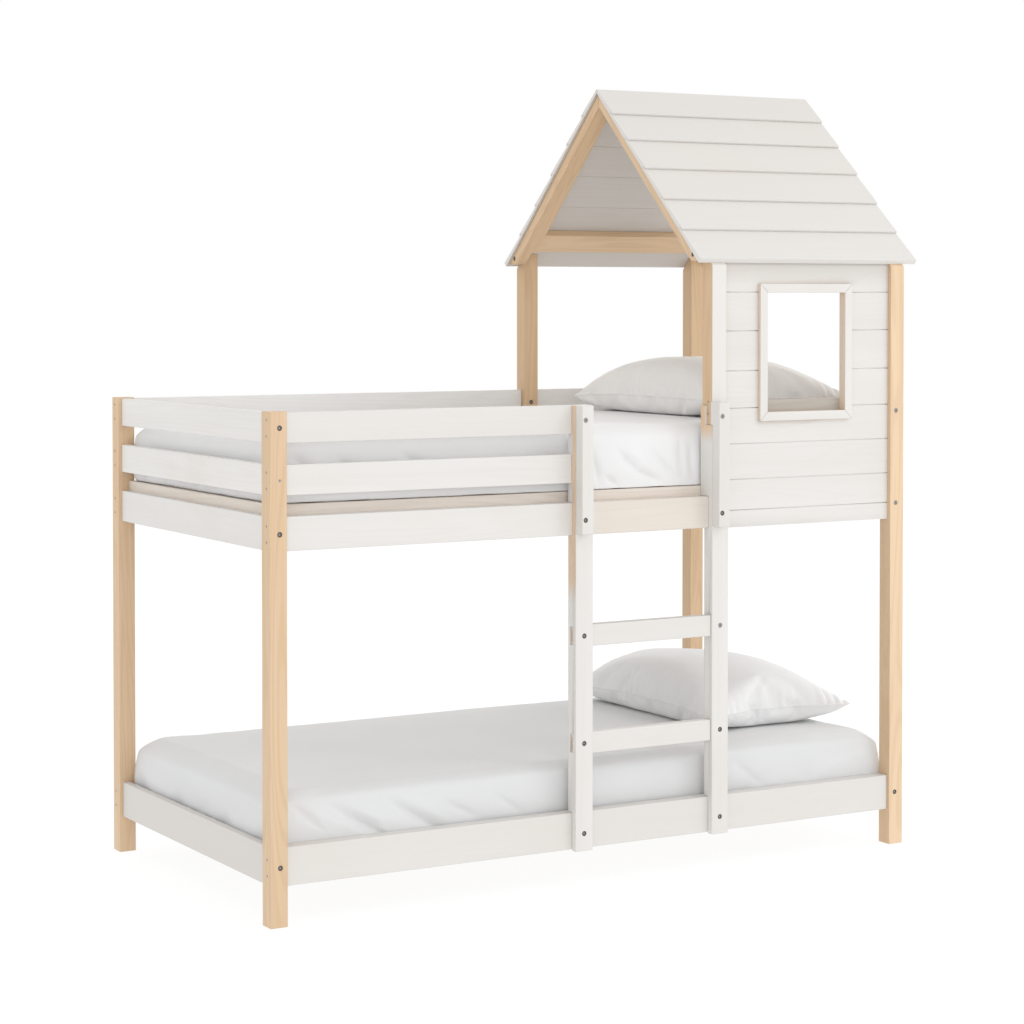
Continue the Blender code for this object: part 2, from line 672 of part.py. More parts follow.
def trim(bm, point, outward):
    """Cuts the mesh off at a plane and closes the cut."""
    everything = list(bm.verts) + list(bm.edges) + list(bm.faces)
    cut = bmesh.ops.bisect_plane(
        bm, geom=everything, plane_co=point, plane_no=outward, clear_outer=True
    )
    edges = [item for item in cut["geom_cut"] if isinstance(item, bmesh.types.BMEdge)]
    bmesh.ops.edgeloop_fill(bm, edges=edges)


def add_casing(name, turn, half_run, half_reach):
    """One mitred member of the window frame: a casing on the wall and a jamb through it.

    It is made as the top member, around the window's middle, and turned about Y to its side.
    """
    front = WALL_INSET - CASING_PROUD
    section = [
        (front, half_reach),
        (front, half_reach + CASING_WIDTH),
        (WALL_INSET - TOUCH_GAP, half_reach + CASING_WIDTH),
        (WALL_INSET - TOUCH_GAP, half_reach + JAMB_THICKNESS),
        (WALL_BACK, half_reach + JAMB_THICKNESS),
        (WALL_BACK, half_reach),
    ]
    reach = half_run + 2 * CASING_WIDTH
    bm = extruded(section, -reach, reach)
    for side in (-1, 1):
        corner = (side * (half_run - TOUCH_GAP), 0, half_reach)
        trim(bm, corner, (side, 0, -1))
    middle = (WINDOW_MIDDLE, 0, WINDOW_SILL + WINDOW_HEIGHT / 2)
    obj = add_object(name, bm, middle, BED_PIECES)
    obj.rotation_euler = (0, turn, 0)
    soften_edges(obj, FINE_EDGE)
    give_finish(obj, WHITE_PAINT)


def add_window_frame():
    half_width = WINDOW_WIDTH / 2
    half_height = WINDOW_HEIGHT / 2
    add_casing("window_frame_top", 0, half_width, half_height)
    add_casing("window_frame_right", math.pi / 2, half_height, half_width)
    add_casing("window_frame_bottom", math.pi, half_width, half_height)
    add_casing("window_frame_left", -math.pi / 2, half_height, half_width)


# Roof: rafters notched round the post tops, purlins between them, lapped boards on top


def level_along(height, rise):
    """How far along the slope a point at this rise lies when it is at this height."""
    return (height - ROOF_LINE - rise * SLOPE_COSINE) / SLOPE_SINE


def add_rafters():
    """A level cut ends each rafter's tail, and its inner part stops above the post's top."""
    top = -TOUCH_GAP
    bottom = -RAFTER_THICKNESS
    outline = [
        (top * SLOPE_TANGENT - RIDGE_GAP, top),
        (bottom * SLOPE_TANGENT - RIDGE_GAP, bottom),
        (level_along(RAFTER_TAIL, bottom), bottom),
        (level_along(RAFTER_TAIL, top), top),
    ]
    half = HOUSE_LENGTH / 2 + RAFTER_PROUD
    ends = (
        ("gable", (-half, -half + RAFTER_WIDTH), HOUSE_START, -1),
        ("head", (half - RAFTER_WIDTH, half), BED_LENGTH, 1),
    )
    for end, x, post_face, outward in ends:
        for side, behind in (("front", False), ("back", True)):
            obj = add_slope_profile(
                "rafter_" + end + "_" + side, outline, x, behind, PINE, WOOD_EDGE
            )
            notch_end = post_face - outward * (RAFTER_WIDTH + CUT_OVERRUN)
            notch_x = sorted((post_face + outward * TOUCH_GAP, notch_end))
            notch_y = (-CUT_OVERRUN, POST_SIZE + RAFTER_THICKNESS / SLOPE_SINE + CUT_OVERRUN)
            if behind:
                notch_y = (BED_WIDTH - notch_y[1], BED_WIDTH - notch_y[0])
            notch_z = (RAFTER_TAIL - CUT_OVERRUN, RAFTER_NOTCH_TOP)
            cut_box(obj, "notch", notch_x, notch_y, notch_z)
            bolt_y = BED_WIDTH - RAFTER_BOLT_INSET if behind else RAFTER_BOLT_INSET
            bolt_z = underside_height(RAFTER_BOLT_INSET) - RAFTER_BOLT_DROP
            bolt_x = post_face + outward * RAFTER_PROUD
            cut_bolts(obj, [(bolt_x, bolt_y, bolt_z)], (-outward, 0, 0))


def add_purlins():
    low = level_along(underside_height(PURLIN_FROM_EAVE), 0)
    outline = [
        (low, -TOUCH_GAP),
        (low, -PURLIN_THICKNESS),
        (low + PURLIN_WIDTH, -PURLIN_THICKNESS),
        (low + PURLIN_WIDTH, -TOUCH_GAP),
    ]
    half = HOUSE_LENGTH / 2 + RAFTER_PROUD - RAFTER_WIDTH - TOUCH_GAP
    add_slope_profile("purlin_front", outline, (-half, half), False, PINE, WOOD_EDGE)
    add_slope_profile("purlin_back", outline, (-half, half), True, PINE, WOOD_EDGE)


def roof_board_outline(upper, lower, is_top, is_lowest):
    """One board's section: thin tongue under the board above, thick lower edge over the one below."""
    if is_top:
        head = [
            (-RIDGE_GAP, 0),
            (ROOF_TONGUE_THICKNESS * SLOPE_TANGENT - RIDGE_GAP, ROOF_TONGUE_THICKNESS),
        ]
    else:
        tongue = upper + ROOF_LAP - TOUCH_GAP
        head = [(tongue, 0), (tongue, ROOF_TONGUE_THICKNESS), (upper, ROOF_TONGUE_THICKNESS)]
    if is_lowest:
        foot = [(lower, ROOF_BOARD_THICKNESS), (lower, 0)]
    else:
        rebate = ROOF_TONGUE_THICKNESS + TOUCH_GAP
        foot = [
            (lower, ROOF_BOARD_THICKNESS),
            (lower, rebate),
            (lower + ROOF_LAP, rebate),
            (lower + ROOF_LAP, 0),
        ]
    return head + foot


def add_roof_boards():
    half = HOUSE_LENGTH / 2 + ROOF_END_OVERHANG
    last = len(ROOF_COURSE_SHARES) - 1
    for side, behind in (("front", False), ("back", True)):
        upper = 0
        for index, share in enumerate(ROOF_COURSE_SHARES):
            lower = upper + share * EAVE_ALONG
            outline = roof_board_outline(upper, lower, index == 0, index == last)
            name = "roof_board_" + side + "_" + str(index + 1)
            add_slope_profile(name, outline, (-half, half), behind, WHITE_PAINT, FINE_EDGE)
            upper = lower


# Bedding


def runs_along(edge, axis):
    first, second = (vert.co for vert in edge.verts)
    return abs(second[axis] - first[axis]) == max(abs(value) for value in second - first)


def subdivided_cube(cuts):
    """A unit cube with its own number of cuts across each axis."""
    bm = bmesh.new()
    bmesh.ops.create_cube(bm, size=1)
    for axis, count in enumerate(cuts):
        if count:
            edges = [edge for edge in bm.edges if runs_along(edge, axis)]
            bmesh.ops.subdivide_edges(bm, edges=edges, cuts=count, use_grid_fill=True)
    return bm


def smooth_solid(obj, levels):
    for polygon in obj.data.polygons:
        polygon.use_smooth = True
    smoothing = obj.modifiers.new("soft form", "SUBSURF")
    smoothing.levels = levels
    smoothing.render_levels = levels


def drops_onto(falling, standing, direction, graph):
    """How far each point of one piece is from the other along a direction, where it meets it."""
    surface = BVHTree.FromObject(standing, graph)
    offset = falling.location - standing.location
    for vert in falling.evaluated_get(graph).data.vertices:
        distance = surface.ray_cast(vert.co + offset, direction)[3]
        if distance is not None:
            yield distance


def rest_on(obj, support):
    """Lowers a piece from above its support until one touch gap is left between them."""
    obj.location.z = support.location.z + MATTRESS_HEIGHT + PILLOW_BOTTOM_LOFT
    graph = bpy.context.evaluated_depsgraph_get()
    down = Vector((0, 0, -1))
    drops = [*drops_onto(obj, support, down, graph), *drops_onto(support, obj, -down, graph)]
    obj.location.z -= min(drops) - TOUCH_GAP


def add_mattress(name, bottom):
    """A cage with support loops near its edges, crowned on top."""
    half = Vector((MATTRESS_LENGTH / 2, MATTRESS_WIDTH / 2, 0))
    bm = subdivided_cube((2, 2, 1))
    for vert in bm.verts:
        inside = True
        for axis in (0, 1):
            outer = abs(vert.co[axis]) > 1 / 4
            inside = inside and not outer
            reach = half[axis] if outer else half[axis] - MATTRESS_SOFTNESS
            vert.co[axis] = math.copysign(reach, vert.co[axis])
        share = vert.co.z + 1 / 2
        top = MATTRESS_HEIGHT if inside else MATTRESS_HEIGHT - MATTRESS_CROWN
        vert.co.z = share * top
    place = (BED_LENGTH / 2, BED_WIDTH / 2, bottom)
    obj = add_object(name, bm, place, BED_PIECES)
    smooth_solid(obj, MATTRESS_SMOOTHING_COUNT)
    give_finish(obj, BEDDING)
    return obj


def add_pillow(name, mattress):
    """Full in the middle, flat underneath, thin at the seam, with its sides drawn in."""
    bm = subdivided_cube((PILLOW_ACROSS_COUNT, PILLOW_ALONG_COUNT, 0))
    for vert in bm.verts:
        across = math.sin(vert.co.x * math.pi)
        along = math.sin(vert.co.y * math.pi)
        fullness = math.sqrt((1 - across**2) * (1 - along**2))
        loft = math.sqrt(fullness)
        pinched_x = 1 - PILLOW_PINCH_SHARE * (1 - along**2)
        pinched_y = 1 - PILLOW_PINCH_SHARE * (1 - across**2)
        if vert.co.z > 0:
            height = PILLOW_SEAM / 2 + PILLOW_TOP_LOFT * loft
        else:
            height = -PILLOW_SEAM / 2 - PILLOW_BOTTOM_LOFT * (1 - (1 - loft) ** 2)
        vert.co.x = across * pinched_x * PILLOW_WIDTH / 2
        vert.co.y = along * pinched_y * PILLOW_LENGTH / 2
        vert.co.z = height + PILLOW_SEAM / 2 + PILLOW_BOTTOM_LOFT
    head = HEAD_X[0] - PILLOW_HEAD_CLEARANCE
    place = (head - PILLOW_WIDTH / 2, BED_WIDTH / 2 + PILLOW_SIDE_SHIFT, 0)
    obj = add_object(name, bm, place, BED_PIECES)
    smooth_solid(obj, PILLOW_SMOOTHING_COUNT)
    give_finish(obj, BEDDING)
    rest_on(obj, mattress)


def add_bunk(level, slat_bottom):
    """A slat base with its mattress and pillow, one on the other."""
    add_slat_base("slat_base_" + level, slat_bottom)
    mattress_bottom = slat_bottom + SLAT_MEMBER_HEIGHT + TOUCH_GAP
    mattress = add_mattress("mattress_" + level, mattress_bottom)
    add_pillow("pillow_" + level, mattress)


add_corner_posts()
add_house_posts()
add_rails()
add_guards()
add_uprights()
add_rungs()
add_battens()
add_wall()
add_window_frame()
add_rafters()
add_purlins()
add_roof_boards()
add_bunk("lower", LOWER_SLAT_BOTTOM)
add_bunk("upper", UPPER_SLAT_BOTTOM)
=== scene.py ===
"""House bunk bed: paint, wood, fasteners, bedding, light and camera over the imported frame."""

import math

import bmesh
import bpy
from mathutils import Matrix, Vector, noise


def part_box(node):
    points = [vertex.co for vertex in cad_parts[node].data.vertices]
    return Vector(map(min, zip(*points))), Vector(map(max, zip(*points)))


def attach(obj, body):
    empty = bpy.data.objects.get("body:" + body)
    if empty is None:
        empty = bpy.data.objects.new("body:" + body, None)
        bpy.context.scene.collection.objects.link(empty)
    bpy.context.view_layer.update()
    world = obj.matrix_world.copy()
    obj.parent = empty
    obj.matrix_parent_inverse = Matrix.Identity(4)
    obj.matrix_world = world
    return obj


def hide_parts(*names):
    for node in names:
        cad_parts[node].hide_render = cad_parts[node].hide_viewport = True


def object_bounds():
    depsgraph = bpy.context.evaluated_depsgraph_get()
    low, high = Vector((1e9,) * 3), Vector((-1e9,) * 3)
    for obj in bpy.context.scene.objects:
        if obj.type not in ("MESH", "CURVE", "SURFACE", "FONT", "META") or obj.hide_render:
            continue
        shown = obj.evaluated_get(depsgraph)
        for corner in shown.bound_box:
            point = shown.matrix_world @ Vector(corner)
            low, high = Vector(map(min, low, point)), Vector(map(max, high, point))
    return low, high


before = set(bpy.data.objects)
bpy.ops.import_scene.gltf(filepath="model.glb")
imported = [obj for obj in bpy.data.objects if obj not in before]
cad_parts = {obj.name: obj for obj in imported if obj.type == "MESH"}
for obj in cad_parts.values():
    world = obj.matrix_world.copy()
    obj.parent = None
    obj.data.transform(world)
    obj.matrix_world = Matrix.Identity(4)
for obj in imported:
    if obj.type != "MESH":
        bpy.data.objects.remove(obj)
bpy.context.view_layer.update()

FRAME_BODY = "frame"
FOOT_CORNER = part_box("post_foot_front")[0]
# The slope of the roof boards and rafters, which their grain follows
ROOF_PITCH = math.radians(43.5)


def middle_height(node):
    low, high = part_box(node)
    return (low.z + high.z) / 2


# Materials


class Graph:
    """A small helper that adds nodes to one material and links them."""

    def __init__(self, name):
        self.material = bpy.data.materials.new(name)
        self.material.use_nodes = True
        self.nodes = self.material.node_tree.nodes
        self.links = self.material.node_tree.links
        self.shader = self.nodes["Principled BSDF"]
        self.coords = self.nodes.new("ShaderNodeTexCoord")

    def put(self, socket, value):
        if isinstance(value, bpy.types.NodeSocket):
            self.links.new(value, socket)
        else:
            socket.default_value = value

    def shade(self, socket, value):
        self.links.new(value, self.shader.inputs[socket])

    def mapping(self, scale, rotation=(0, 0, 0), offset=(0, 0, 0)):
        node = self.nodes.new("ShaderNodeMapping")
        self.links.new(self.coords.outputs["Object"], node.inputs["Vector"])
        turned = node
        if any(rotation):
            node.inputs["Rotation"].default_value = rotation
            turned = self.nodes.new("ShaderNodeMapping")
            self.links.new(node.outputs["Vector"], turned.inputs["Vector"])
        turned.inputs["Scale"].default_value = scale
        turned.inputs["Location"].default_value = offset
        return turned.outputs["Vector"]

    def noise(self, vector, scale, detail=3.0, roughness=0.5, distortion=0.0):
        node = self.nodes.new("ShaderNodeTexNoise")
        self.links.new(vector, node.inputs["Vector"])
        node.inputs["Scale"].default_value = scale
        node.inputs["Detail"].default_value = detail
        node.inputs["Roughness"].default_value = roughness
        node.inputs["Distortion"].default_value = distortion
        return node.outputs["Fac"]

    def math(self, operation, first, second=0.0):
        node = self.nodes.new("ShaderNodeMath")
        node.operation = operation
        self.put(node.inputs[0], first)
        self.put(node.inputs[1], second)
        return node.outputs[0]

    def span(self, value, low, high, to_low=0.0, to_high=1.0):
        """Carries low..high smoothly onto to_low..to_high."""
        node = self.nodes.new("ShaderNodeMapRange")
        node.interpolation_type = "SMOOTHSTEP"
        self.put(node.inputs["Value"], value)
        node.inputs["From Min"].default_value = low
        node.inputs["From Max"].default_value = high
        node.inputs["To Min"].default_value = to_low
        node.inputs["To Max"].default_value = to_high
        return node.outputs["Result"]

    def mix(self, factor, first, second):
        node = self.nodes.new("ShaderNodeMix")
        node.data_type = "RGBA"
        self.put(node.inputs["Factor"], factor)
        self.put(node.inputs["A"], (*first, 1) if isinstance(first, tuple) else first)
        self.put(node.inputs["B"], (*second, 1) if isinstance(second, tuple) else second)
        return node.outputs["Result"]

    def parts(self, output):
        """The X, Y and Z of the object's own coordinates or normal."""
        node = self.nodes.new("ShaderNodeSeparateXYZ")
        self.links.new(self.coords.outputs[output], node.inputs[0])
        return node.outputs

    def bump(self, height, strength, distance):
        node = self.nodes.new("ShaderNodeBump")
        node.inputs["Strength"].default_value = strength
        node.inputs["Distance"].default_value = distance
        self.links.new(height, node.inputs["Height"])
        self.shade("Normal", node.outputs["Normal"])


# How finely the grain runs along and across a board
ALONG = 0.55
ACROSS = 9.0
# Each direction a board can take, as (fineness on each axis, turn)
GRAIN = {
    "x": ((ALONG, ACROSS, ACROSS), (0, 0, 0)),
    "y": ((ACROSS, ALONG, ACROSS), (0, 0, 0)),
    "z": ((ACROSS, ACROSS, ALONG), (0, 0, 0)),
    "front_slope": ((ACROSS, ALONG, ACROSS), (-ROOF_PITCH, 0, 0)),
    "back_slope": ((ACROSS, ALONG, ACROSS), (ROOF_PITCH, 0, 0)),
}
# How many ring lines run over the contours, and how much finer the fibre is
RING_LINES = 95.0
FIBRE_ACROSS = 14.0
FIBRE_FINENESS = 1.6
# How strongly rings and fibre show in bare wood and through paint
WOOD_RINGS = 0.26
WOOD_FIBRE = 0.22
PAINT_RINGS = 0.16
PAINT_FIBRE = 0.30
# How deep the grain's relief is, and how much of it each finish leaves
RELIEF_DEPTH = 0.0006
WOOD_RELIEF = 0.10
PAINT_RELIEF = 0.14
PART_PAINTED_RELIEF = 0.12
WOOD_ROUGHNESS = (0.42, 0.56)
PAINT_ROUGHNESS = (0.40, 0.52)
# Moves the grain's pattern from one board to the next, and from paint to the bare wood under it
PATTERN_STEP = (3.17, 5.71, 2.39)
BARE_SEED_STEP = 40

# Wood, each as (light, medium, dark)
PINE = ((0.725, 0.535, 0.352), (0.67, 0.48, 0.302), (0.54, 0.355, 0.205))
# Darker pine, painted shade on the pieces and sides deep in the house
SHADOW_PINE = ((0.675, 0.482, 0.300), (0.62, 0.43, 0.255), (0.50, 0.32, 0.175))
PALE_PINE = ((0.79, 0.595, 0.398), (0.73, 0.535, 0.342), (0.59, 0.40, 0.24))
WASHED = ((0.76, 0.69, 0.622), (0.715, 0.64, 0.567), (0.62, 0.535, 0.455))
SHADED = ((0.50, 0.46, 0.415), (0.47, 0.425, 0.38), (0.40, 0.35, 0.30))
END_GRAIN = ((0.60, 0.42, 0.26), (0.54, 0.36, 0.21), (0.42, 0.27, 0.15))
# The darker pine of painted shade on some posts' sides towards the foot end
SIDE_SHADE_PINE = (0.50, 0.33, 0.19)
# Paint: its thickest and thinnest coat, and where the wood warms it
PAINT_LIGHT = (0.742, 0.724, 0.699)
PAINT_DARK = (0.672, 0.648, 0.617)
PAINT_WARM = (0.690, 0.640, 0.585)
PATCH_FINENESS = 2.2
PATCH_SHARE = 0.40
# How far one board's coat differs from the next, of the way from light to dark, and its step
COAT_SPREAD = 0.45
COAT_STEP = 0.618
# Boards lighter than all others (below 0) or darker (above 1), as painted light and shade: the back
# and foot guards lit, the lower foot rail in shade
LIT_AND_SHADED_COATS = {
    "guard_back_top": -0.9,
    "guard_back_middle": -0.9,
    "guard_house_top": -0.9,
    "guard_foot_top": -0.5,
    "guard_foot_middle": -0.9,
    "lower_rail_foot": 1.3,
}
# The roof's coat at the eave, and how much it gains up to the ridge
ROOF_COAT = 0.4
ROOF_COAT_GAIN = 0.6


def grain_values(graph, direction, seed):
    """(broad tone, ring lines, fine fibre), each 0 to 1, along a board's direction."""
    scale, rotation = GRAIN[direction]
    offset = tuple(seed * step for step in PATTERN_STEP)
    vector = graph.mapping(scale, rotation, offset)
    broad = graph.noise(vector, 1.0, 2.0, 0.5, 0.2)
    contour = graph.noise(vector, 1.3, 1.5, 0.45, 0.6)
    waves = graph.math("SINE", graph.math("MULTIPLY", contour, RING_LINES))
    rings = graph.span(waves, -0.2, 1.0)
    finer = tuple(
        value * (1.0 if value == ALONG else FIBRE_ACROSS) * FIBRE_FINENESS for value in scale
    )
    fibre = graph.noise(graph.mapping(finer, rotation, offset), 1.0, 4.0, 0.62)
    return broad, rings, fibre


def wood_colour(graph, direction, seed, tones):
    """(colour, ring lines, fine fibre) of bare wood."""
    light, medium, dark = tones
    broad, rings, fibre = grain_values(graph, direction, seed)
    tone = graph.mix(graph.span(broad, 0.3, 0.7), light, medium)
    ringed = graph.mix(graph.math("MULTIPLY", rings, WOOD_RINGS), tone, dark)
    colour = graph.mix(graph.span(fibre, 0.45, 0.75, 0.0, WOOD_FIBRE), ringed, dark)
    return colour, rings, fibre


def paint_colour(graph, direction, seed, coat):
    """White paint with the grain just showing, and here and there a warmer, thinner patch."""
    broad, rings, fibre = grain_values(graph, direction, seed)
    light = tuple(Vector(PAINT_LIGHT).lerp(Vector(PAINT_DARK), coat))
    tone = graph.mix(graph.span(broad, 0.3, 0.7, 0.0, 0.35), light, PAINT_DARK)
    patch_vector = graph.mapping((PATCH_FINENESS,) * 3, offset=(seed, 0, 0))
    patches = graph.noise(patch_vector, 1.0, 2.0)
    tone = graph.mix(graph.span(patches, 0.50, 0.72, 0.0, PATCH_SHARE), tone, PAINT_WARM)
    ringed = graph.mix(graph.math("MULTIPLY", rings, PAINT_RINGS), tone, PAINT_DARK)
    colour = graph.mix(graph.span(fibre, 0.5, 0.8, 0.0, PAINT_FIBRE), ringed, PAINT_DARK)
    return colour, rings, fibre


def wood_relief(graph, rings, fibre, strength):
    height = graph.math("ADD", graph.math("MULTIPLY", rings, 0.4), fibre)
    graph.bump(height, strength, RELIEF_DEPTH)


def bare_wood(name, direction, seed, tones=PINE, side_shade=0.0):
    """Lacquered wood, with painted shade darkening its side that faces the foot end by the given
    share.
    """
    graph = Graph(name)
    colour, rings, fibre = wood_colour(graph, direction, seed, tones)
    facing_foot = graph.span(graph.parts("Normal")[0], -0.6, -0.85, 0.0, side_shade)
    graph.shade("Base Color", graph.mix(facing_foot, colour, SIDE_SHADE_PINE))
    graph.shade("Roughness", graph.span(fibre, 0.3, 0.7, *WOOD_ROUGHNESS))
    wood_relief(graph, rings, fibre, WOOD_RELIEF)
    return graph.material


def painted(name, direction, seed, coat):
    """White paint, from its lightest at a coat of 0 to its darkest at 1; coats past either end are
    painted light and shade.
    """
    graph = Graph(name)
    colour, rings, fibre = paint_colour(graph, direction, seed, coat)
    graph.shade("Base Color", colour)
    graph.shade("Roughness", graph.span(fibre, 0.3, 0.7, *PAINT_ROUGHNESS))
    wood_relief(graph, rings, fibre, PAINT_RELIEF)
    return graph.material


def part_painted(name, direction, seed, bare_and_shade_mask, coat, tones):
    """Paint over wood, mixed towards the tones where the mask says so: bare wood on most pieces,
    painted shade on the wall and the roof's undersides.
    """
    graph = Graph(name)
    paint, rings, fibre = paint_colour(graph, direction, seed, coat)
    bare = wood_colour(graph, direction, seed + BARE_SEED_STEP, tones)[0]
    graph.shade("Base Color", graph.mix(bare_and_shade_mask(graph), paint, bare))
    graph.shader.inputs["Roughness"].default_value = 0.48
    wood_relief(graph, rings, fibre, PART_PAINTED_RELIEF)
    return graph.material


def facing_foot_mask(graph):
    return graph.span(graph.parts("Normal")[0], -0.5, -0.8)


# The left upright's bare side fades into paint between these heights over the upper rung
UPRIGHT_FADE = (0.08, 0.17)
UPRIGHT_BARE_SHARE = 0.8
# Over how far the bare wood ends at the boards that run into the upright, and under the rail
BOARD_EDGE = 0.001
RAIL_EDGE = 0.004


def upright_bare_mask(graph):
    """The left upright's outer side is bare, in front of the boards that run into it."""
    y, z = graph.parts("Object")[1:3]
    rung = middle_height("ladder_rung_upper")
    height = graph.span(z, rung + UPRIGHT_FADE[0], rung + UPRIGHT_FADE[1])
    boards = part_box("guard_front_top")[0].y
    forward = graph.span(y, boards, boards - BOARD_EDGE)
    rail_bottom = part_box("upper_rail_front")[0].z
    below = graph.span(z, rail_bottom, rail_bottom - RAIL_EDGE)
    shown = graph.math("MAXIMUM", forward, below)
    bare = graph.math("MULTIPLY", graph.math("MULTIPLY", facing_foot_mask(graph), height), shown)
    return graph.math("MULTIPLY", bare, UPRIGHT_BARE_SHARE)


# The right upright's top is bare where it laps the house post, fading out below the lap
LAP_FADE = (0.060, -0.005)


def lap_bare_mask(graph):
    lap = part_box("house_post_front")[0].z
    height = graph.span(graph.parts("Object")[2], lap - LAP_FADE[0], lap - LAP_FADE[1])
    return graph.math("MULTIPLY", facing_foot_mask(graph), height)


def house_post_bare_mask(graph):
    """The front house post is painted on its front face only."""
    return graph.span(graph.parts("Normal")[1], -0.75, -0.5)


def rung_end_mask(graph):
    """The rungs' tenons show bare end grain."""
    return graph.span(graph.math("ABSOLUTE", graph.parts("Normal")[0]), 0.6, 0.9)


REVEAL_SHARE = 0.6


def reveal_mask(graph):
    """The window casing's square side faces keep a thin wash that lets the wood through."""
    normal = graph.parts("Normal")
    along = graph.math("ABSOLUTE", normal[0])
    squarest = graph.math("MAXIMUM", along, graph.math("ABSOLUTE", normal[2]))
    return graph.span(squarest, 0.88, 0.97, 0.0, REVEAL_SHARE)


UNDERSIDE_SHADE_SHARE = 0.50


def front_underside_shade_mask(graph):
    """Painted shade on the roof boards' undersides, darker and warmer than the top."""
    return graph.span(graph.parts("Normal")[1], 0.3, 0.6, 0.0, UNDERSIDE_SHADE_SHARE)


# The same painted shade on the back slope's undersides
def back_underside_shade_mask(graph):
    return graph.span(graph.parts("Normal")[1], -0.3, -0.6, 0.0, UNDERSIDE_SHADE_SHARE)


# Painted shade under the eave: the wall's paint darkens over this band, by this share at the very top
EAVE_BAND = 0.085
EAVE_SHADE_SHARE = 0.42


def eave_shade_mask(graph):
    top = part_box("wall_panel")[1].z
    return graph.span(graph.parts("Object")[2], top - EAVE_BAND, top, 0.0, EAVE_SHADE_SHARE)


# How much of the rail's paint is worn off, and where that starts and ends, from the uprights' sides
WEAR_SHARE = 0.26
WEAR_START = (-0.01, 0.05)
WEAR_END = (-0.02, 0.02)


def entry_wear_mask(graph):
    """The upper rail's paint is thin between the uprights, where people climb over it."""
    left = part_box("ladder_upright_left")[1].x
    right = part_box("ladder_upright_right")[0].x
    x = graph.parts("Object")[0]
    into = graph.span(x, left + WEAR_START[0], left + WEAR_START[1])
    out_of = graph.span(x, right + WEAR_END[0], right + WEAR_END[1], 1.0, 0.0)
    return graph.math("MULTIPLY", graph.math("MULTIPLY", into, out_of), WEAR_SHARE)


# The side members' width, and over how far their grain gives way to that of the slats
SLAT_MEMBER_SHOWN = 0.024
SLAT_MEMBER_EDGE = 0.001


def slat_wood(name, node, seed):
    """Whitewashed wood whose grain runs along the side members and across on the slats."""
    graph = Graph(name)
    across = wood_colour(graph, "y", seed, WASHED)[0]
    along, rings, fibre = wood_colour(graph, "x", seed, WASHED)
    low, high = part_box(node)
    centre = (low.y + high.y) / 2
    reach = (high.y - low.y) / 2 - SLAT_MEMBER_SHOWN
    away = graph.math("ABSOLUTE", graph.math("SUBTRACT", graph.parts("Object")[1], centre))
    member = graph.span(away, reach, reach + SLAT_MEMBER_EDGE)
    graph.shade("Base Color", graph.mix(member, across, along))
    graph.shader.inputs["Roughness"].default_value = 0.55
    wood_relief(graph, rings, fibre, WOOD_RELIEF)
    return graph.material


METAL_FLECKS = 900.0
# How much lighter the flecks are than the metal
FLECK_LIGHT = 1.25


def metal(name, colour, roughness):
    graph = Graph(name)
    fleck = graph.noise(graph.mapping((1, 1, 1)), METAL_FLECKS, 2.0)
    light = tuple(value * FLECK_LIGHT for value in colour)
    graph.shade("Base Color", graph.mix(fleck, colour, light))
    graph.shader.inputs["Metallic"].default_value = 0.9
    graph.shader.inputs["Roughness"].default_value = roughness
    return graph.material


# How closely the threads lie on each axis, one way and the other, and how finely the cloth creases
WARP = (900, 120, 900)
WEFT = (120, 900, 900)
WEAVE_SHARE = 0.25
CREASE_FINENESS = 38.0
COTTON_RELIEF = 0.16
COTTON_RELIEF_DEPTH = 0.0012


def cotton(name, dull, bright):
    """Closely woven white cotton, soft and slightly creased."""
    graph = Graph(name)
    vector = graph.mapping((1, 1, 1))
    soft = graph.noise(vector, 5.0, 3.0)
    warp = graph.noise(graph.mapping(WARP), 1.0, 1.0)
    weft = graph.noise(graph.mapping(WEFT), 1.0, 1.0)
    weave = graph.math("ADD", warp, weft)
    creases = graph.noise(vector, CREASE_FINENESS, 4.0, 0.6, 0.3)
    height = graph.math("ADD", graph.math("MULTIPLY", weave, WEAVE_SHARE), creases)
    graph.shade("Base Color", graph.mix(soft, dull, bright))
    graph.shader.inputs["Roughness"].default_value = 0.85
    graph.shader.inputs["Sheen Weight"].default_value = 0.25
    graph.shader.inputs["Sheen Roughness"].default_value = 0.5
    graph.bump(height, COTTON_RELIEF, COTTON_RELIEF_DEPTH)
    return graph.material


# Bare pine pieces, with the direction of their grain
PINE_PIECES = {
    "post_foot_front": "z",
    "post_foot_back": "z",
    "post_head_front": "z",
    "post_head_back": "z",
    "house_post_back": "z",
    "rafter_gable_front": "front_slope",
    "rafter_gable_back": "back_slope",
    "rafter_head_front": "front_slope",
    "rafter_head_back": "back_slope",
    "purlin_front": "x",
    "purlin_back": "x",
}
# Painted pieces with bare places: the grain's direction, where they are bare (for the wall, where its
# painted shade falls), and in which tones
PART_PAINTED = {
    "ladder_upright_left": ("z", upright_bare_mask, PINE),
    "ladder_upright_right": ("z", lap_bare_mask, PINE),
    "house_post_front": ("z", house_post_bare_mask, SHADOW_PINE),
    "ladder_rung_lower": ("x", rung_end_mask, END_GRAIN),
    "ladder_rung_upper": ("x", rung_end_mask, END_GRAIN),
    "upper_rail_front": ("x", entry_wear_mask, PINE),
    # The wall's mask is painted shade under the eave, not bare wood
    "wall_panel": ("x", eave_shade_mask, SHADED),
    "window_frame_top": ("x", reveal_mask, PINE),
    "window_frame_bottom": ("x", reveal_mask, PINE),
    "window_frame_left": ("z", reveal_mask, PINE),
    "window_frame_right": ("z", reveal_mask, PINE),
}
UPRIGHT_PAINTED = ("splice_batten_left", "splice_batten_right")
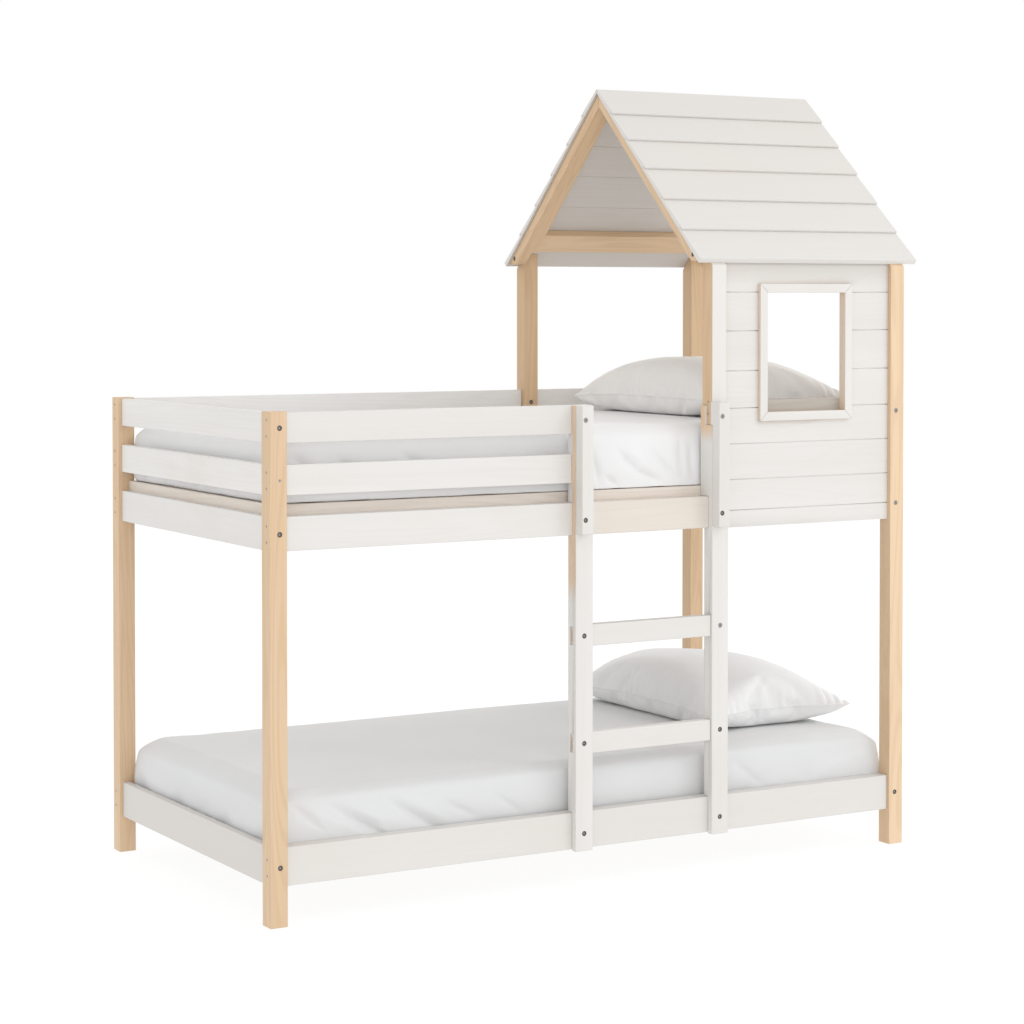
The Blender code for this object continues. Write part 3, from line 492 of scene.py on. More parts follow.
# The posts with painted shade on their side towards the foot end, and by what share it darkens
SHADED_SIDE_POSTS = ("post_head_front", "post_head_back", "house_post_back")
SIDE_SHADE_SHARE = 0.42
# The pine pieces that are paler than the others, or darker for painted shade deep in the house
PINE_TONES = {
    "post_head_front": PALE_PINE,
    "post_head_back": SHADOW_PINE,
    "house_post_back": SHADOW_PINE,
    "rafter_gable_back": SHADOW_PINE,
}


def paint_direction(node):
    if node in UPRIGHT_PAINTED:
        return "z"
    return "y" if "_foot" in node or "_head" in node else "x"


def roof_coat(node):
    """The roof's paint is a little greyer towards the ridge."""
    ridge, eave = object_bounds()[1].z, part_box("wall_panel")[1].z
    return ROOF_COAT + ROOF_COAT_GAIN * (middle_height(node) - eave) / (ridge - eave)


def frame_material(node, seed):
    if node in PINE_PIECES:
        side_shade = SIDE_SHADE_SHARE if node in SHADED_SIDE_POSTS else 0.0
        tones = PINE_TONES.get(node, PINE)
        return bare_wood("pine_" + node, PINE_PIECES[node], seed, tones, side_shade)
    # The wall rail is whitewashed, in the darker SHADED tones as painted shade behind the wall
    if node == "wall_rail":
        return bare_wood("washed_" + node, "x", seed, SHADED)
    if node.startswith("slat_base"):
        return slat_wood("washed_" + node, node, seed)
    if node in PART_PAINTED:
        direction, mask, tones = PART_PAINTED[node]
        return part_painted("painted_" + node, direction, seed, mask, 0.0, tones)
    if node.startswith("roof_board"):
        mask = front_underside_shade_mask if "front" in node else back_underside_shade_mask
        return part_painted("painted_" + node, "x", seed, mask, roof_coat(node), SHADED)
    coat = LIT_AND_SHADED_COATS.get(node, COAT_SPREAD * (seed * COAT_STEP % 1.0))
    return painted("painted_" + node, paint_direction(node), seed, coat)


WELD_DISTANCE = 1e-5
LARGE_FACE_WEIGHT = 60


def round_edges(obj):
    """Lets the small chamfers take the light as worn, rounded edges do."""
    weld = obj.modifiers.new("weld", "WELD")
    weld.merge_threshold = WELD_DISTANCE
    normals = obj.modifiers.new("round_edges", "WEIGHTED_NORMAL")
    normals.weight = LARGE_FACE_WEIGHT


def finish_frame():
    for seed, node in enumerate(sorted(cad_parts), start=1):
        if node.startswith(("mattress", "pillow")):
            continue
        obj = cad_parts[node]
        material = frame_material(node, seed)
        if not obj.material_slots:
            obj.data.materials.append(material)
        for slot in obj.material_slots:
            slot.material = material
        round_edges(obj)


# Fasteners


def lathe(bm, profile, sides, matrix, material_index=0):
    """Turns (radius, height) points about Z and closes the first and last ring."""
    rings = []
    for radius, height in profile:
        ring = []
        for step in range(sides):
            angle = 2 * math.pi * step / sides
            point = Vector((radius * math.cos(angle), radius * math.sin(angle), height))
            ring.append(bm.verts.new(matrix @ point))
        rings.append(ring)
    faces = [bm.faces.new(list(reversed(rings[0]))), bm.faces.new(rings[-1])]
    for lower, upper in zip(rings, rings[1:]):
        for step in range(sides):
            after = (step + 1) % sides
            faces.append(bm.faces.new((lower[step], lower[after], upper[after], upper[step])))
    for face in faces:
        face.material_index = material_index


# Heads and the dark sockets in them, as (radius, height) points from the bottom up
BOLT_PROFILE = (
    (0.0064, -0.0005),
    (0.0071, 0.0004),
    (0.0071, 0.0013),
    (0.0065, 0.0020),
    (0.0044, 0.0022),
    (0.0040, 0.0019),
    (0.0039, 0.0006),
)
BOLT_SOCKET = ((0.0034, 0.0000), (0.0034, 0.0009))
SCREW_PROFILE = (
    (0.0033, -0.0003),
    (0.0039, 0.0002),
    (0.0039, 0.0007),
    (0.0028, 0.0010),
    (0.0017, 0.0009),
    (0.0015, 0.0003),
)
SCREW_SOCKET = ((0.0013, 0.0000), (0.0013, 0.0005))
PIN_PROFILE = ((0.0036, -0.0003), (0.0036, 0.0008), (0.0030, 0.0011))
PIN_SOCKET = ((0.0010, 0.0000), (0.0010, 0.0012))
BOLT_SIDES = 24
SMALL_SIDES = 16
SOCKET_SIDES = 6
# How deep each kind sits in the wood, the first two at the bottom of their counterbores
BOLT_SINK = 0.0025
SCREW_SINK = 0.0016
FLUSH_SINK = 0.0003
# Each kind as (head, socket, sides of the head, depth)
BOLT = (BOLT_PROFILE, BOLT_SOCKET, BOLT_SIDES, BOLT_SINK)
SCREW = (SCREW_PROFILE, SCREW_SOCKET, SMALL_SIDES, SCREW_SINK)
FLUSH_SCREW = (SCREW_PROFILE, SCREW_SOCKET, SMALL_SIDES, FLUSH_SINK)
PIN = (PIN_PROFILE, PIN_SOCKET, SMALL_SIDES, FLUSH_SINK)
HEAD_CREASE = math.radians(40)


def facing(point, inward, sink):
    """A matrix at the bottom of a counterbore, looking back out of it."""
    outward = -Vector(inward)
    turn = outward.to_track_quat("Z", "Y").to_matrix().to_4x4()
    return Matrix.Translation(point - outward * sink) @ turn


def add_fasteners(name, points, kind, materials):
    """One piece with a head at each of the points, which are (point, direction into the wood)."""
    head, socket, sides, sink = kind
    bm = bmesh.new()
    for point, inward in points:
        matrix = facing(point, inward, sink)
        lathe(bm, head, sides, matrix)
        lathe(bm, socket, SOCKET_SIDES, matrix, 1)
    mesh = bpy.data.meshes.new(name)
    bm.to_mesh(mesh)
    bm.free()
    mesh.shade_smooth()
    mesh.set_sharp_from_angle(angle=HEAD_CREASE)
    obj = bpy.data.objects.new(name, mesh)
    bpy.context.scene.collection.objects.link(obj)
    for material in materials:
        obj.data.materials.append(material)
    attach(obj, FRAME_BODY)


# From a corner post's end face to its bolts, and from its side face to its screws
END_TO_BOLT = 0.029
SIDE_TO_SCREW = 0.020
# From the middle of a board's height up and down to its screws
SCREW_FROM_MIDDLE = 0.021
# From the house post's foot down to the screw in the upright, and up to those in the post
LAP_SCREW_DROP = 0.027
LAP_SCREW_RISES = (0.032, 0.066)
# From the middle of a rung's height up and down to its pins
PIN_FROM_MIDDLE = 0.014
# From a rafter's outer and lower end to its bolt
RAFTER_BOLT_INSET = 0.0328
RAFTER_BOLT_RISE = 0.0186
# From the ends of the uprights and battens to their bolts, and the bolts' place in a batten's width
UPRIGHT_END_TO_BOLT = 0.049
BATTEN_END_TO_BOLT = 0.040
BATTEN_BOLT_SHARE = 0.3
# Each corner post with its inward direction along and across the bed
CORNER_POSTS = (
    ("post_foot_front", 1, 1),
    ("post_foot_back", 1, -1),
    ("post_head_front", -1, 1),
    ("post_head_back", -1, -1),
)
BOLTED_BOARDS = ("lower_rail_front", "upper_rail_front", "guard_front_top")
SMALL_GUARD = "guard_front_middle"


# The bolts with a bright zinc coat, each as (what it goes through, what it holds)
PALE_BOLTS = (
    ("post_head_front", "upper_rail_front"),
    ("post_head_front", "guard_front_top"),
    ("ladder_upright_right", "ladder_rung_upper"),
)


def outer_corner(node, along, across):
    """Where a corner post's end face and side face meet, with along and across pointing inward."""
    low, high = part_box(node)
    return (low.x if along == 1 else high.x), (low.y if across == 1 else high.y)


def post_bolts(pale):
    for node, along, across in CORNER_POSTS:
        x, y = outer_corner(node, along, across)
        for board in BOLTED_BOARDS:
            if ((node, board) in PALE_BOLTS) == pale:
                yield Vector((x + along * END_TO_BOLT, y, middle_height(board))), (0, across, 0)
    if not pale:
        low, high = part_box("house_post_back")
        height = middle_height("guard_back_top")
        yield Vector(((low.x + high.x) / 2, low.y, height)), (0, 1, 0)


def post_screws():
    for node, along, across in CORNER_POSTS:
        x, y = outer_corner(node, along, across)
        boards = BOLTED_BOARDS
        if along == 1:
            boards += (SMALL_GUARD,)
            yield Vector((x + END_TO_BOLT, y, middle_height(SMALL_GUARD))), (0, across, 0)
        for board in boards:
            for rise in (-SCREW_FROM_MIDDLE, SCREW_FROM_MIDDLE):
                height = middle_height(board) + rise
                yield Vector((x, y + across * SIDE_TO_SCREW, height)), (along, 0, 0)
    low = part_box("house_post_front")[0]
    for rise in LAP_SCREW_RISES:
        yield low + Vector((0, SIDE_TO_SCREW, rise)), (1, 0, 0)


def tenon_pins():
    """Dowels in the rungs' tenons, which show on the ladder's outer side."""
    for rung in ("ladder_rung_lower", "ladder_rung_upper"):
        low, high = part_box(rung)
        for rise in (-PIN_FROM_MIDDLE, PIN_FROM_MIDDLE):
            yield Vector((low.x, (low.y + high.y) / 2, middle_height(rung) + rise)), (1, 0, 0)


def lap_screw():
    """A flush screw in the right upright's bare top, below the two in the house post."""
    x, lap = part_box("ladder_upright_right")[0].x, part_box("house_post_front")[0].z
    yield Vector((x, SIDE_TO_SCREW, lap - LAP_SCREW_DROP)), (1, 0, 0)


def rafter_bolts():
    for node in ("rafter_gable_front", "rafter_gable_back", "rafter_head_front", "rafter_head_back"):
        low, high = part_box(node)
        x, inward = (low.x, 1) if "gable" in node else (high.x, -1)
        y = low.y + RAFTER_BOLT_INSET if "front" in node else high.y - RAFTER_BOLT_INSET
        yield Vector((x, y, low.z + RAFTER_BOLT_RISE)), (inward, 0, 0)


def ladder_bolts(pale):
    for side in ("left", "right"):
        upright = "ladder_upright_" + side
        low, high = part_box(upright)
        x = (low.x + high.x) / 2
        for rung in ("ladder_rung_lower", "ladder_rung_upper"):
            if ((upright, rung) in PALE_BOLTS) == pale:
                yield Vector((x, low.y, middle_height(rung))), (0, 1, 0)
        if not pale:
            yield Vector((x, low.y, low.z + UPRIGHT_END_TO_BOLT)), (0, 1, 0)


def batten_bolts(pale):
    """The battens' upper bolts are the pale ones."""
    for side in ("left", "right"):
        low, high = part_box("splice_batten_" + side)
        x = low.x + BATTEN_BOLT_SHARE * (high.x - low.x)
        height = high.z - BATTEN_END_TO_BOLT if pale else low.z + BATTEN_END_TO_BOLT
        yield Vector((x, low.y, height)), (0, 1, 0)


# Metals, each as (colour, roughness)
DARK_STEEL = ((0.115, 0.107, 0.10), 0.42)
ZINC = ((0.34, 0.335, 0.33), 0.40)
WORN_STEEL = ((0.27, 0.26, 0.25), 0.5)
DOWEL_SEED = 3


def add_all_fasteners():
    steel = metal("dark_steel", *DARK_STEEL)
    zinc = metal("zinc_steel", *ZINC)
    socket = metal("worn_socket", *WORN_STEEL)
    dark, light = (steel, socket), (zinc, socket)
    for coat, pale, finish in (("dark", False, dark), ("pale", True, light)):
        bolts = (*post_bolts(pale), *ladder_bolts(pale), *batten_bolts(pale))
        add_fasteners(coat + "_bolts", bolts, BOLT, finish)
    add_fasteners("rafter_bolts", rafter_bolts(), BOLT, dark)
    add_fasteners("post_screws", post_screws(), SCREW, light)
    add_fasteners("lap_screw", lap_screw(), FLUSH_SCREW, light)
    dowel = bare_wood("dowel", "x", DOWEL_SEED, END_GRAIN)
    add_fasteners("tenon_pins", tenon_pins(), PIN, (dowel, dowel))


# Bedding


def link_object(name, bm, material):
    mesh = bpy.data.meshes.new(name)
    bm.to_mesh(mesh)
    bm.free()
    mesh.shade_smooth()
    mesh.materials.append(material)
    obj = bpy.data.objects.new(name, mesh)
    bpy.context.scene.collection.objects.link(obj)
    return obj


def keep_shape(obj):
    """Applies the object's modifiers to its mesh."""
    graph = bpy.context.evaluated_depsgraph_get()
    settled = bpy.data.meshes.new_from_object(obj.evaluated_get(graph))
    obj.modifiers.clear()
    obj.data = settled
    obj.data.shade_smooth()


# A grid share or a length closer than this counts as the same
SAME = 1e-6
CLOTH_STEPS = 6
CLOTH_POINT_MASS = 0.3
CLOTH_DAMPING = 8
AIR_DAMPING = 2
# How many times softer the cloth is in shear than in tension
SHEAR_SOFTER = 3


def simulate_cloth(obj, frames, pressure, tension, bending, shrink=0.0, pinned=None):
    """Lets the object's cloth settle under pressure, with no gravity, and keeps the last shape."""
    cloth = obj.modifiers.new("cloth", "CLOTH")
    settings = cloth.settings
    settings.quality = CLOTH_STEPS
    settings.mass = CLOTH_POINT_MASS
    settings.tension_stiffness = tension
    settings.compression_stiffness = tension
    settings.shear_stiffness = tension / SHEAR_SOFTER
    settings.bending_stiffness = bending
    settings.tension_damping = CLOTH_DAMPING
    settings.compression_damping = CLOTH_DAMPING
    settings.air_damping = AIR_DAMPING
    settings.use_pressure = True
    settings.uniform_pressure_force = pressure
    settings.shrink_min = shrink
    settings.effector_weights.gravity = 0
    if pinned:
        group = obj.vertex_groups.new(name="pinned")
        group.add(pinned, 1.0, "REPLACE")
        settings.vertex_group_mass = group.name
    cloth.collision_settings.use_collision = False
    cloth.point_cache.frame_end = frames
    for number in range(1, frames + 1):
        bpy.context.scene.frame_set(number)
    keep_shape(obj)
    obj.vertex_groups.clear()
    bpy.context.scene.frame_set(1)


def subdivide(obj, levels):
    smooth = obj.modifiers.new("subdivision", "SUBSURF")
    smooth.levels = levels
    smooth.render_levels = levels
    keep_shape(obj)


def finish_soft(obj, node, body):
    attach(obj, body)
    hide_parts(node)


# Cells of the cover along, across and up the mattress, before it is smoothed
MATTRESS_CELLS = (78, 28, 8)
SMOOTH_LEVELS = 2
# Share of each half grid that is flat on top, before the top rolls down to the side
MATTRESS_FLAT = (0.88, 0.74)
MATTRESS_ROLL = (0.115, 0.062)
# How far the top falls to the ends and to the sides
LOWER_DROP = Vector((0.046, 0.026))
UPPER_DROP = Vector((0.046, 0.042))
# The upright corners' radius, and how far the sides swell, up to this share of a half wave
MATTRESS_CORNER = 0.014
MATTRESS_BELLY = 0.004
BELLY_SPAN = 1.1
# How far the cover starts inside the solid
MATTRESS_INSET = Vector((0.0015, 0.0015, 0.0005))
# The cover is held up to this height over the slats while it settles
PINNED_HEIGHT = 0.004
# How far the hem is drawn in, how high and how finely it waves, and how far that reaches
HEM_RADIUS = 0.0045
HEM_WAVE = 0.004
HEM_FINENESS = 11
HEM_REACH = 0.02
# The furthest that settling moves any point of the cover
MOST_WRINKLE = 0.008


def along_roll(share, half, flat, roll):
    """(distance from the middle, fall from 0 to 1) for a grid share from -1 to 1."""
    size = abs(share)
    if size <= flat:
        return share / flat * (half - roll), 0.0
    turn = (size - flat) / (1 - flat) * math.pi / 2
    return math.copysign(half - roll + roll * math.sin(turn), share), 1 - math.cos(turn)


def into_corner(x, y, half):
    """Draws a point of the plan in, so that the four upright corners are round."""
    reach = []
    for value, limit in ((x, half.x), (y, half.y)):
        reach.append(max(0.0, abs(value) - (limit - MATTRESS_CORNER)) / MATTRESS_CORNER)
    if min(reach) <= 0:
        return x, y
    pull = (1 - max(reach) / math.hypot(*reach)) * MATTRESS_CORNER
    return x - math.copysign(pull * reach[0], x), y - math.copysign(pull * reach[1], y)


def mattress_point(unit, half, drop):
    """Carries a point of a cube from -1 to 1 onto the mattress, whose middle is the origin."""
    x, fall_x = along_roll(unit.x, half.x, MATTRESS_FLAT[0], MATTRESS_ROLL[0])
    y, fall_y = along_roll(unit.y, half.y, MATTRESS_FLAT[1], MATTRESS_ROLL[1])
    fall = drop.x * fall_x + drop.y * fall_y - min(drop) * fall_x * fall_y
    on_end = abs(unit.x) > 1 - SAME
    on_side = abs(unit.y) > 1 - SAME
    height = (unit.z + 1) / 2
    x, y = into_corner(x, y, half)
    top = half.z - fall
    z = -half.z + height * (top + half.z)
    belly = MATTRESS_BELLY * math.sin(math.pi * min(1.0, height * BELLY_SPAN))
    hem = HEM_RADIUS if height < SAME else 0.0
    x *= 1 + (belly - hem) / half.x * on_end
    y *= 1 + (belly - hem) / half.y * on_side
    return Vector((x, y, z))


def mattress_block(half, drop):
    """The mattress's outer skin, as a fine grid on all six sides."""
    bm = bmesh.new()
    bmesh.ops.create_cube(bm, size=2.0)
    for axis in range(3):
        edges = [
            edge
            for edge in bm.edges
            if abs(edge.verts[0].co[axis] - edge.verts[1].co[axis]) > SAME
        ]
        cuts = MATTRESS_CELLS[axis] - 1
        bmesh.ops.subdivide_edges(bm, edges=edges, cuts=cuts, use_grid_fill=True)
    for vert in bm.verts:
        vert.co = mattress_point(vert.co.copy(), half, drop)
    return bm


# Creases on the front side, from the foot end: (x, height) at each end, width and lift
LOWER_CREASES = (
    ((0.095, 0.140), (0.204, 0.050), 0.0125, -0.0130),
    ((0.125, 0.140), (0.232, 0.058), 0.0150, 0.0060),
    ((0.205, 0.128), (0.367, 0.035), 0.0130, -0.0135),
    ((0.250, 0.130), (0.415, 0.045), 0.0160, 0.0060),
    ((0.380, 0.125), (0.523, 0.038), 0.0125, -0.0120),
    ((0.420, 0.130), (0.570, 0.048), 0.0160, 0.0050),
    ((0.550, 0.105), (0.640, 0.062), 0.0120, -0.0085),
    ((0.700, 0.115), (0.790, 0.055), 0.0130, -0.0060),
    ((1.500, 0.130), (1.610, 0.050), 0.0140, -0.0060),
)
UPPER_CREASES = (
    ((0.100, 0.120), (0.190, 0.050), 0.0120, -0.0110),
    ((0.230, 0.110), (0.340, 0.040), 0.0120, -0.0110),
    ((0.420, 0.120), (0.560, 0.045), 0.0120, -0.0095),
    ((1.105, 0.108), (1.168, 0.048), 0.0105, -0.0135),
    ((1.168, 0.048), (1.249, 0.015), 0.0105, -0.0125),
    ((1.140, 0.112), (1.215, 0.048), 0.0140, 0.0055),
    ((1.215, 0.108), (1.304, 0.020), 0.0105, -0.0130),
    ((1.062, 0.036), (1.106, 0.007), 0.0090, -0.0100),
    ((1.018, 0.115), (1.042, 0.016), 0.0105, -0.0120),
    ((1.316, 0.135), (1.322, 0.028), 0.0110, -0.0080),
    ((1.350, 0.125), (1.358, 0.025), 0.0105, -0.0075),
)
# How far the creases reach in from the front side, and how sharply they end at their edges
CREASE_REACH = 0.030
CREASE_EDGE = 1.4
# A crease runs through this part of a half wave: where it starts, and its length
CREASE_FADE = (0.08, 0.84)
# Gentle waves all over the cover
WAVE_HEIGHT = 0.0020
WAVE_FINENESS = (3.1, 3.6, 9.0)
# How far the cover may stand out past the solid on its sides
PROUD = Vector((0.002, 0.002, 0.0))


def crease_height(point, creases, low):
    """How far a point of the cloth stands out, from gentle waves and the creases drawn above."""
    fine = Vector(value * fineness for value, fineness in zip(point, WAVE_FINENESS))
    height = WAVE_HEIGHT * noise.noise(fine)
    spot = Vector((point.x - FOOT_CORNER.x, point.z - low.z))
    front = math.exp(-(((point.y - low.y) / CREASE_REACH) ** 2))
    for start, end, width, lift in creases:
        along = Vector(end) - Vector(start)
        share = (spot - Vector(start)).dot(along) / along.length_squared
        share = max(0.0, min(1.0, share))
        away = (spot - (Vector(start) + along * share)).length
        fade = math.sin(math.pi * (CREASE_FADE[0] + CREASE_FADE[1] * share))
        height += lift * front * fade * math.exp(-((away / width) ** CREASE_EDGE))
    return height


def hem_lift(point, low, high):
    """The hem waves up a little from the slats along the mattress's lower edge."""
    edge = min(point.x - low.x, high.x - point.x, point.y - low.y, high.y - point.y)
    wave = 0.5 + 0.5 * noise.noise(Vector((point.x * HEM_FINENESS, point.y * HEM_FINENESS, 3.0)))
    near_edge = math.exp(-max(0.0, edge) / HEM_REACH)
    return HEM_WAVE * wave * near_edge * math.exp(-(point.z - low.z) / HEM_REACH)


def add_mattress(level, drop, creases, material):
    node = "mattress_" + level
    low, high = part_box(node)
    middle = (low + high) / 2
    half = (high - low) / 2 - MATTRESS_INSET
    bm = mattress_block(half, drop)
    pinned = [vert.index for vert in bm.verts if vert.co.z < PINNED_HEIGHT - half.z]
    obj = link_object("soft_" + node, bm, material)
    before = [vert.co.copy() for vert in obj.data.vertices]
    simulate_cloth(
        obj, frames=12, pressure=1.0, tension=12.0, bending=0.3, shrink=-0.010, pinned=pinned
    )
    for vert, start in zip(obj.data.vertices, before):
        moved = vert.co - start
        if moved.length > MOST_WRINKLE:
            moved *= MOST_WRINKLE / moved.length
        vert.co = start + moved
    subdivide(obj, SMOOTH_LEVELS)
    for vert in obj.data.vertices:
        vert.co += middle
    lifts = [vert.normal * crease_height(vert.co, creases, low) for vert in obj.data.vertices]
    least, most = low - PROUD, high + PROUD
    for vert, lift in zip(obj.data.vertices, lifts):
        vert.co += lift
        vert.co.z += hem_lift(vert.co, low, high)
        for axis in range(3):
            vert.co[axis] = min(most[axis], max(least[axis], vert.co[axis]))
    finish_soft(obj, node, level + "_mattress")


# One panel's size when flat, and how many squares of cloth it has
PILLOW_FLAT = Vector((0.56, 0.86))
PILLOW_SQUARES = (40, 62)
# How far apart the panels start, and how uneven that is
PANEL_LIFT = 0.02
PANEL_RIPPLE = 0.004
# The seam's height, as a share of the pillow's
PILLOW_SEAM_SHARE = 0.34
# The attribute that keeps each point's place when flat
FLAT_PLACE = "flat_place"
# The gathers at the seam: their spacing, depth, where they start and how far they reach
GATHER_PITCH = 0.036
GATHER_DEPTH = 0.0042
GATHER_START = 0.012
GATHER_REACH = (0.025, 0.070)
# Their strength on average, how much it varies, and how far they wander from even spacing
GATHER_STRENGTH = (0.35, 1.1)
GATHER_DRIFT = 4
# The folds at the corners: their number in a quarter turn, strength, start and reach
FOLD_TURNS = 9
FOLD_STRENGTH = 0.6
FOLD_START = 0.06
FOLD_REACH = 0.13
# The corner folds die out this close to the seam, and a point this close is on it
SEWN_WIDTH = 0.010
SEAM_TOLERANCE = 1e-4
WELT_RADIUS = 0.0019
WELT_SIDES = 6
# How far the middle of the cover rises past the solid's top, and how sharply it gets there
PILLOW_RISE = 0.006
PILLOW_PEAK = 1.25
# How roundly the underside tucks in under the pillow, so that it meets the mattress at a fine angle
PILLOW_TUCK = 1.8
# The corner at the back, on the foot-end side, is drawn in and sags a little
DRAWN_CORNER = Vector((-0.5, 0.5))
DRAWN_REACH = 0.32
DRAWN_IN = 0.024
DRAWN_EDGE = 1.5


def sewn_panels(name, flat, squares, material):
    """Two cloth panels sewn together round their edge, each point keeping its place when flat."""
    bm = bmesh.new()
    place = bm.verts.layers.float_vector.new(FLAT_PLACE)
    across, along = squares
    grids = []
    for side in (1, -1):
        grid = {}
        for i in range(across + 1):
            for j in range(along + 1):
                if side == -1 and (i in (0, across) or j in (0, along)):
                    grid[i, j] = grids[0][i, j]
                    continue
                u, v = 2 * i / across - 1, 2 * j / along - 1
                swell = (1 - u * u) * (1 - v * v)
                ripple = noise.noise(Vector((u * 3, v * 4, side * 5.0)))
                lift = (PANEL_LIFT + PANEL_RIPPLE * ripple) * swell
                point = Vector((u * flat.x / 2, v * flat.y / 2, side * lift))
                grid[i, j] = bm.verts.new(point)
                grid[i, j][place] = Vector((point.x, point.y, side * swell))
        grids.append(grid)
        for i in range(across):
            for j in range(along):
                corner = (grid[i, j], grid[i + 1, j], grid[i + 1, j + 1], grid[i, j + 1])
                bm.faces.new(corner if side == 1 else corner[::-1])
    for i in range(across + 1):
        for j in range(along + 1):
            if i in (0, across) or j in (0, along):
                grids[0][i, j][place].z = 0.0
    return link_object(name, bm, material)


def seam_gathers(inset, run, side):
    """Folds that leave one side's seam at right angles, strong in some places and faint in others."""
    drift = noise.noise(Vector((run * 9, side * 3.7, 0)))
    wave = 2 * abs(math.sin(math.pi * run / GATHER_PITCH + GATHER_DRIFT * drift)) - 1.2
    varied = GATHER_STRENGTH[1] * noise.noise(Vector((run * 6, side * 2.3, 7)))
    strength = max(0.0, GATHER_STRENGTH[0] + varied)
    spread = abs(noise.noise(Vector((run * 14, side * 1.9, 4))))
    reach = GATHER_REACH[0] + GATHER_REACH[1] * spread
    return strength * wave * min(1.0, inset / GATHER_START) * math.exp(-inset / reach)


def corner_folds(inset, other_inset, side):
    """Folds that spread from a corner's tip towards the middle."""
    away = math.hypot(inset, other_inset)
    turn = math.atan2(inset, other_inset + SAME)
    drift = noise.noise(Vector((away * 9, side, 2)))
    wave = math.sin(FOLD_TURNS * turn + 2 * side + 3 * drift)
    return FOLD_STRENGTH * wave * min(1.0, away / FOLD_START) * math.exp(-away / FOLD_REACH)


def gather_depth(spot, flat):
    """How far the cloth stands out or is drawn in, at a place on the flat cloth."""
    inset = (flat.x / 2 - abs(spot.x), flat.y / 2 - abs(spot.y))
    # Each side of each face has a number of its own, so that no two have the same folds
    face = 5 if spot.z < 0 else 0
    ends = math.copysign(1.0, spot.x) + face
    sides = math.copysign(1.0, spot.y) + 2 + face
    depth = seam_gathers(inset[0], spot.y, ends) + seam_gathers(inset[1], spot.x, sides)
    sewn_down = min(1.0, min(inset) / SEWN_WIDTH)
    return GATHER_DEPTH * (depth + sewn_down * corner_folds(*inset, ends + 3 * sides))


def seam_loop(obj, flat):
    """The seam's points in order round the pillow."""
    rim = []
    for vert, place in zip(obj.data.vertices, obj.data.attributes[FLAT_PLACE].data):
        spot = place.vector
        inset = min(abs(abs(spot.x) - flat.x / 2), abs(abs(spot.y) - flat.y / 2))
        if inset < SEAM_TOLERANCE:
            rim.append((math.atan2(spot.y / flat.y, spot.x / flat.x), vert.co.copy()))
    rim.sort(key=lambda entry: entry[0])
    return [entry[1] for entry in rim]


def ring_tube(name, points, radius, sides, material):
    """A closed welt that follows a loop of points."""
    bm = bmesh.new()
    rings = []
    count = len(points)
    for index, point in enumerate(points):
        along = (points[(index + 1) % count] - points[index - 1]).normalized()
        out = along.cross(Vector((0, 0, 1))).normalized()
        up = out.cross(along)
        ring = []
        for step in range(sides):
            angle = 2 * math.pi * step / sides
            swing = out * math.cos(angle) + up * math.sin(angle)
            ring.append(bm.verts.new(point + swing * radius))
        rings.append(ring)
    for index, ring in enumerate(rings):
        after = rings[(index + 1) % count]
        for step in range(sides):
            turn = (step + 1) % sides
            bm.faces.new((ring[step], ring[turn], after[turn], after[step]))
    bmesh.ops.recalc_face_normals(bm, faces=bm.faces)
    return link_object(name, bm, material)


def settle_pillow(obj, low, high):
    """Fits the blown-up pillow into its place and flattens it where it rests."""
    points = [vert.co.copy() for vert in obj.data.vertices]
    least = Vector(min(point[axis] for point in points) for axis in range(3))
    most = Vector(max(point[axis] for point in points) for axis in range(3))
    middle = (low + high) / 2
    seam_height = low.z + PILLOW_SEAM_SHARE * (high.z - low.z)
    for vert, point in zip(obj.data.vertices, points):
        share = Vector((0.0, 0.0))
        for axis in (0, 1):
            share[axis] = (point[axis] - (least[axis] + most[axis]) / 2) / (most[axis] - least[axis])
            vert.co[axis] = middle[axis] + share[axis] * (high[axis] - low[axis])
        if point.z >= 0:
            rise = (point.z / most.z) ** PILLOW_PEAK
            vert.co.z = seam_height + rise * (high.z + PILLOW_RISE - seam_height)
        else:
            tuck = (1 - point.z / least.z) ** PILLOW_TUCK
            vert.co.z = low.z + tuck * (seam_height - low.z)
        near_corner = max(0.0, 1 - (share - DRAWN_CORNER).length / DRAWN_REACH)
        pull = DRAWN_IN * near_corner**DRAWN_EDGE
        vert.co += Vector((pull, -pull, -pull / 2))


def add_pillow(level, material):
    node = "pillow_" + level
    low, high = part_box(node)
    obj = sewn_panels("soft_" + node, PILLOW_FLAT, PILLOW_SQUARES, material)
    simulate_cloth(obj, frames=15, pressure=2.6, tension=15.0, bending=0.2)
    subdivide(obj, SMOOTH_LEVELS)
    settle_pillow(obj, low, high)
    obj.data.update()
    places = obj.data.attributes[FLAT_PLACE].data
    lifts = [
        vert.normal * gather_depth(place.vector, PILLOW_FLAT)
        for vert, place in zip(obj.data.vertices, places)
    ]
    for vert, lift in zip(obj.data.vertices, lifts):
        vert.co += lift
        vert.co.z = min(high.z + PILLOW_RISE, max(low.z, vert.co.z))
    rim = seam_loop(obj, PILLOW_FLAT)
    finish_soft(obj, node, level + "_pillow")
    welt = ring_tube("pillow_seam_" + level, rim, WELT_RADIUS, WELT_SIDES, material)
    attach(welt, level + "_pillow")


# White cottons, each as (dull, bright); the lower mattress's cover is darker than the linen, painted
# shade under the upper bunk
SHADED_COVER = ((0.690, 0.694, 0.700), (0.722, 0.726, 0.731))
LINEN = ((0.782, 0.784, 0.788), (0.814, 0.816, 0.819))
PILLOWCASE = ((0.802, 0.788, 0.770), (0.832, 0.820, 0.804))


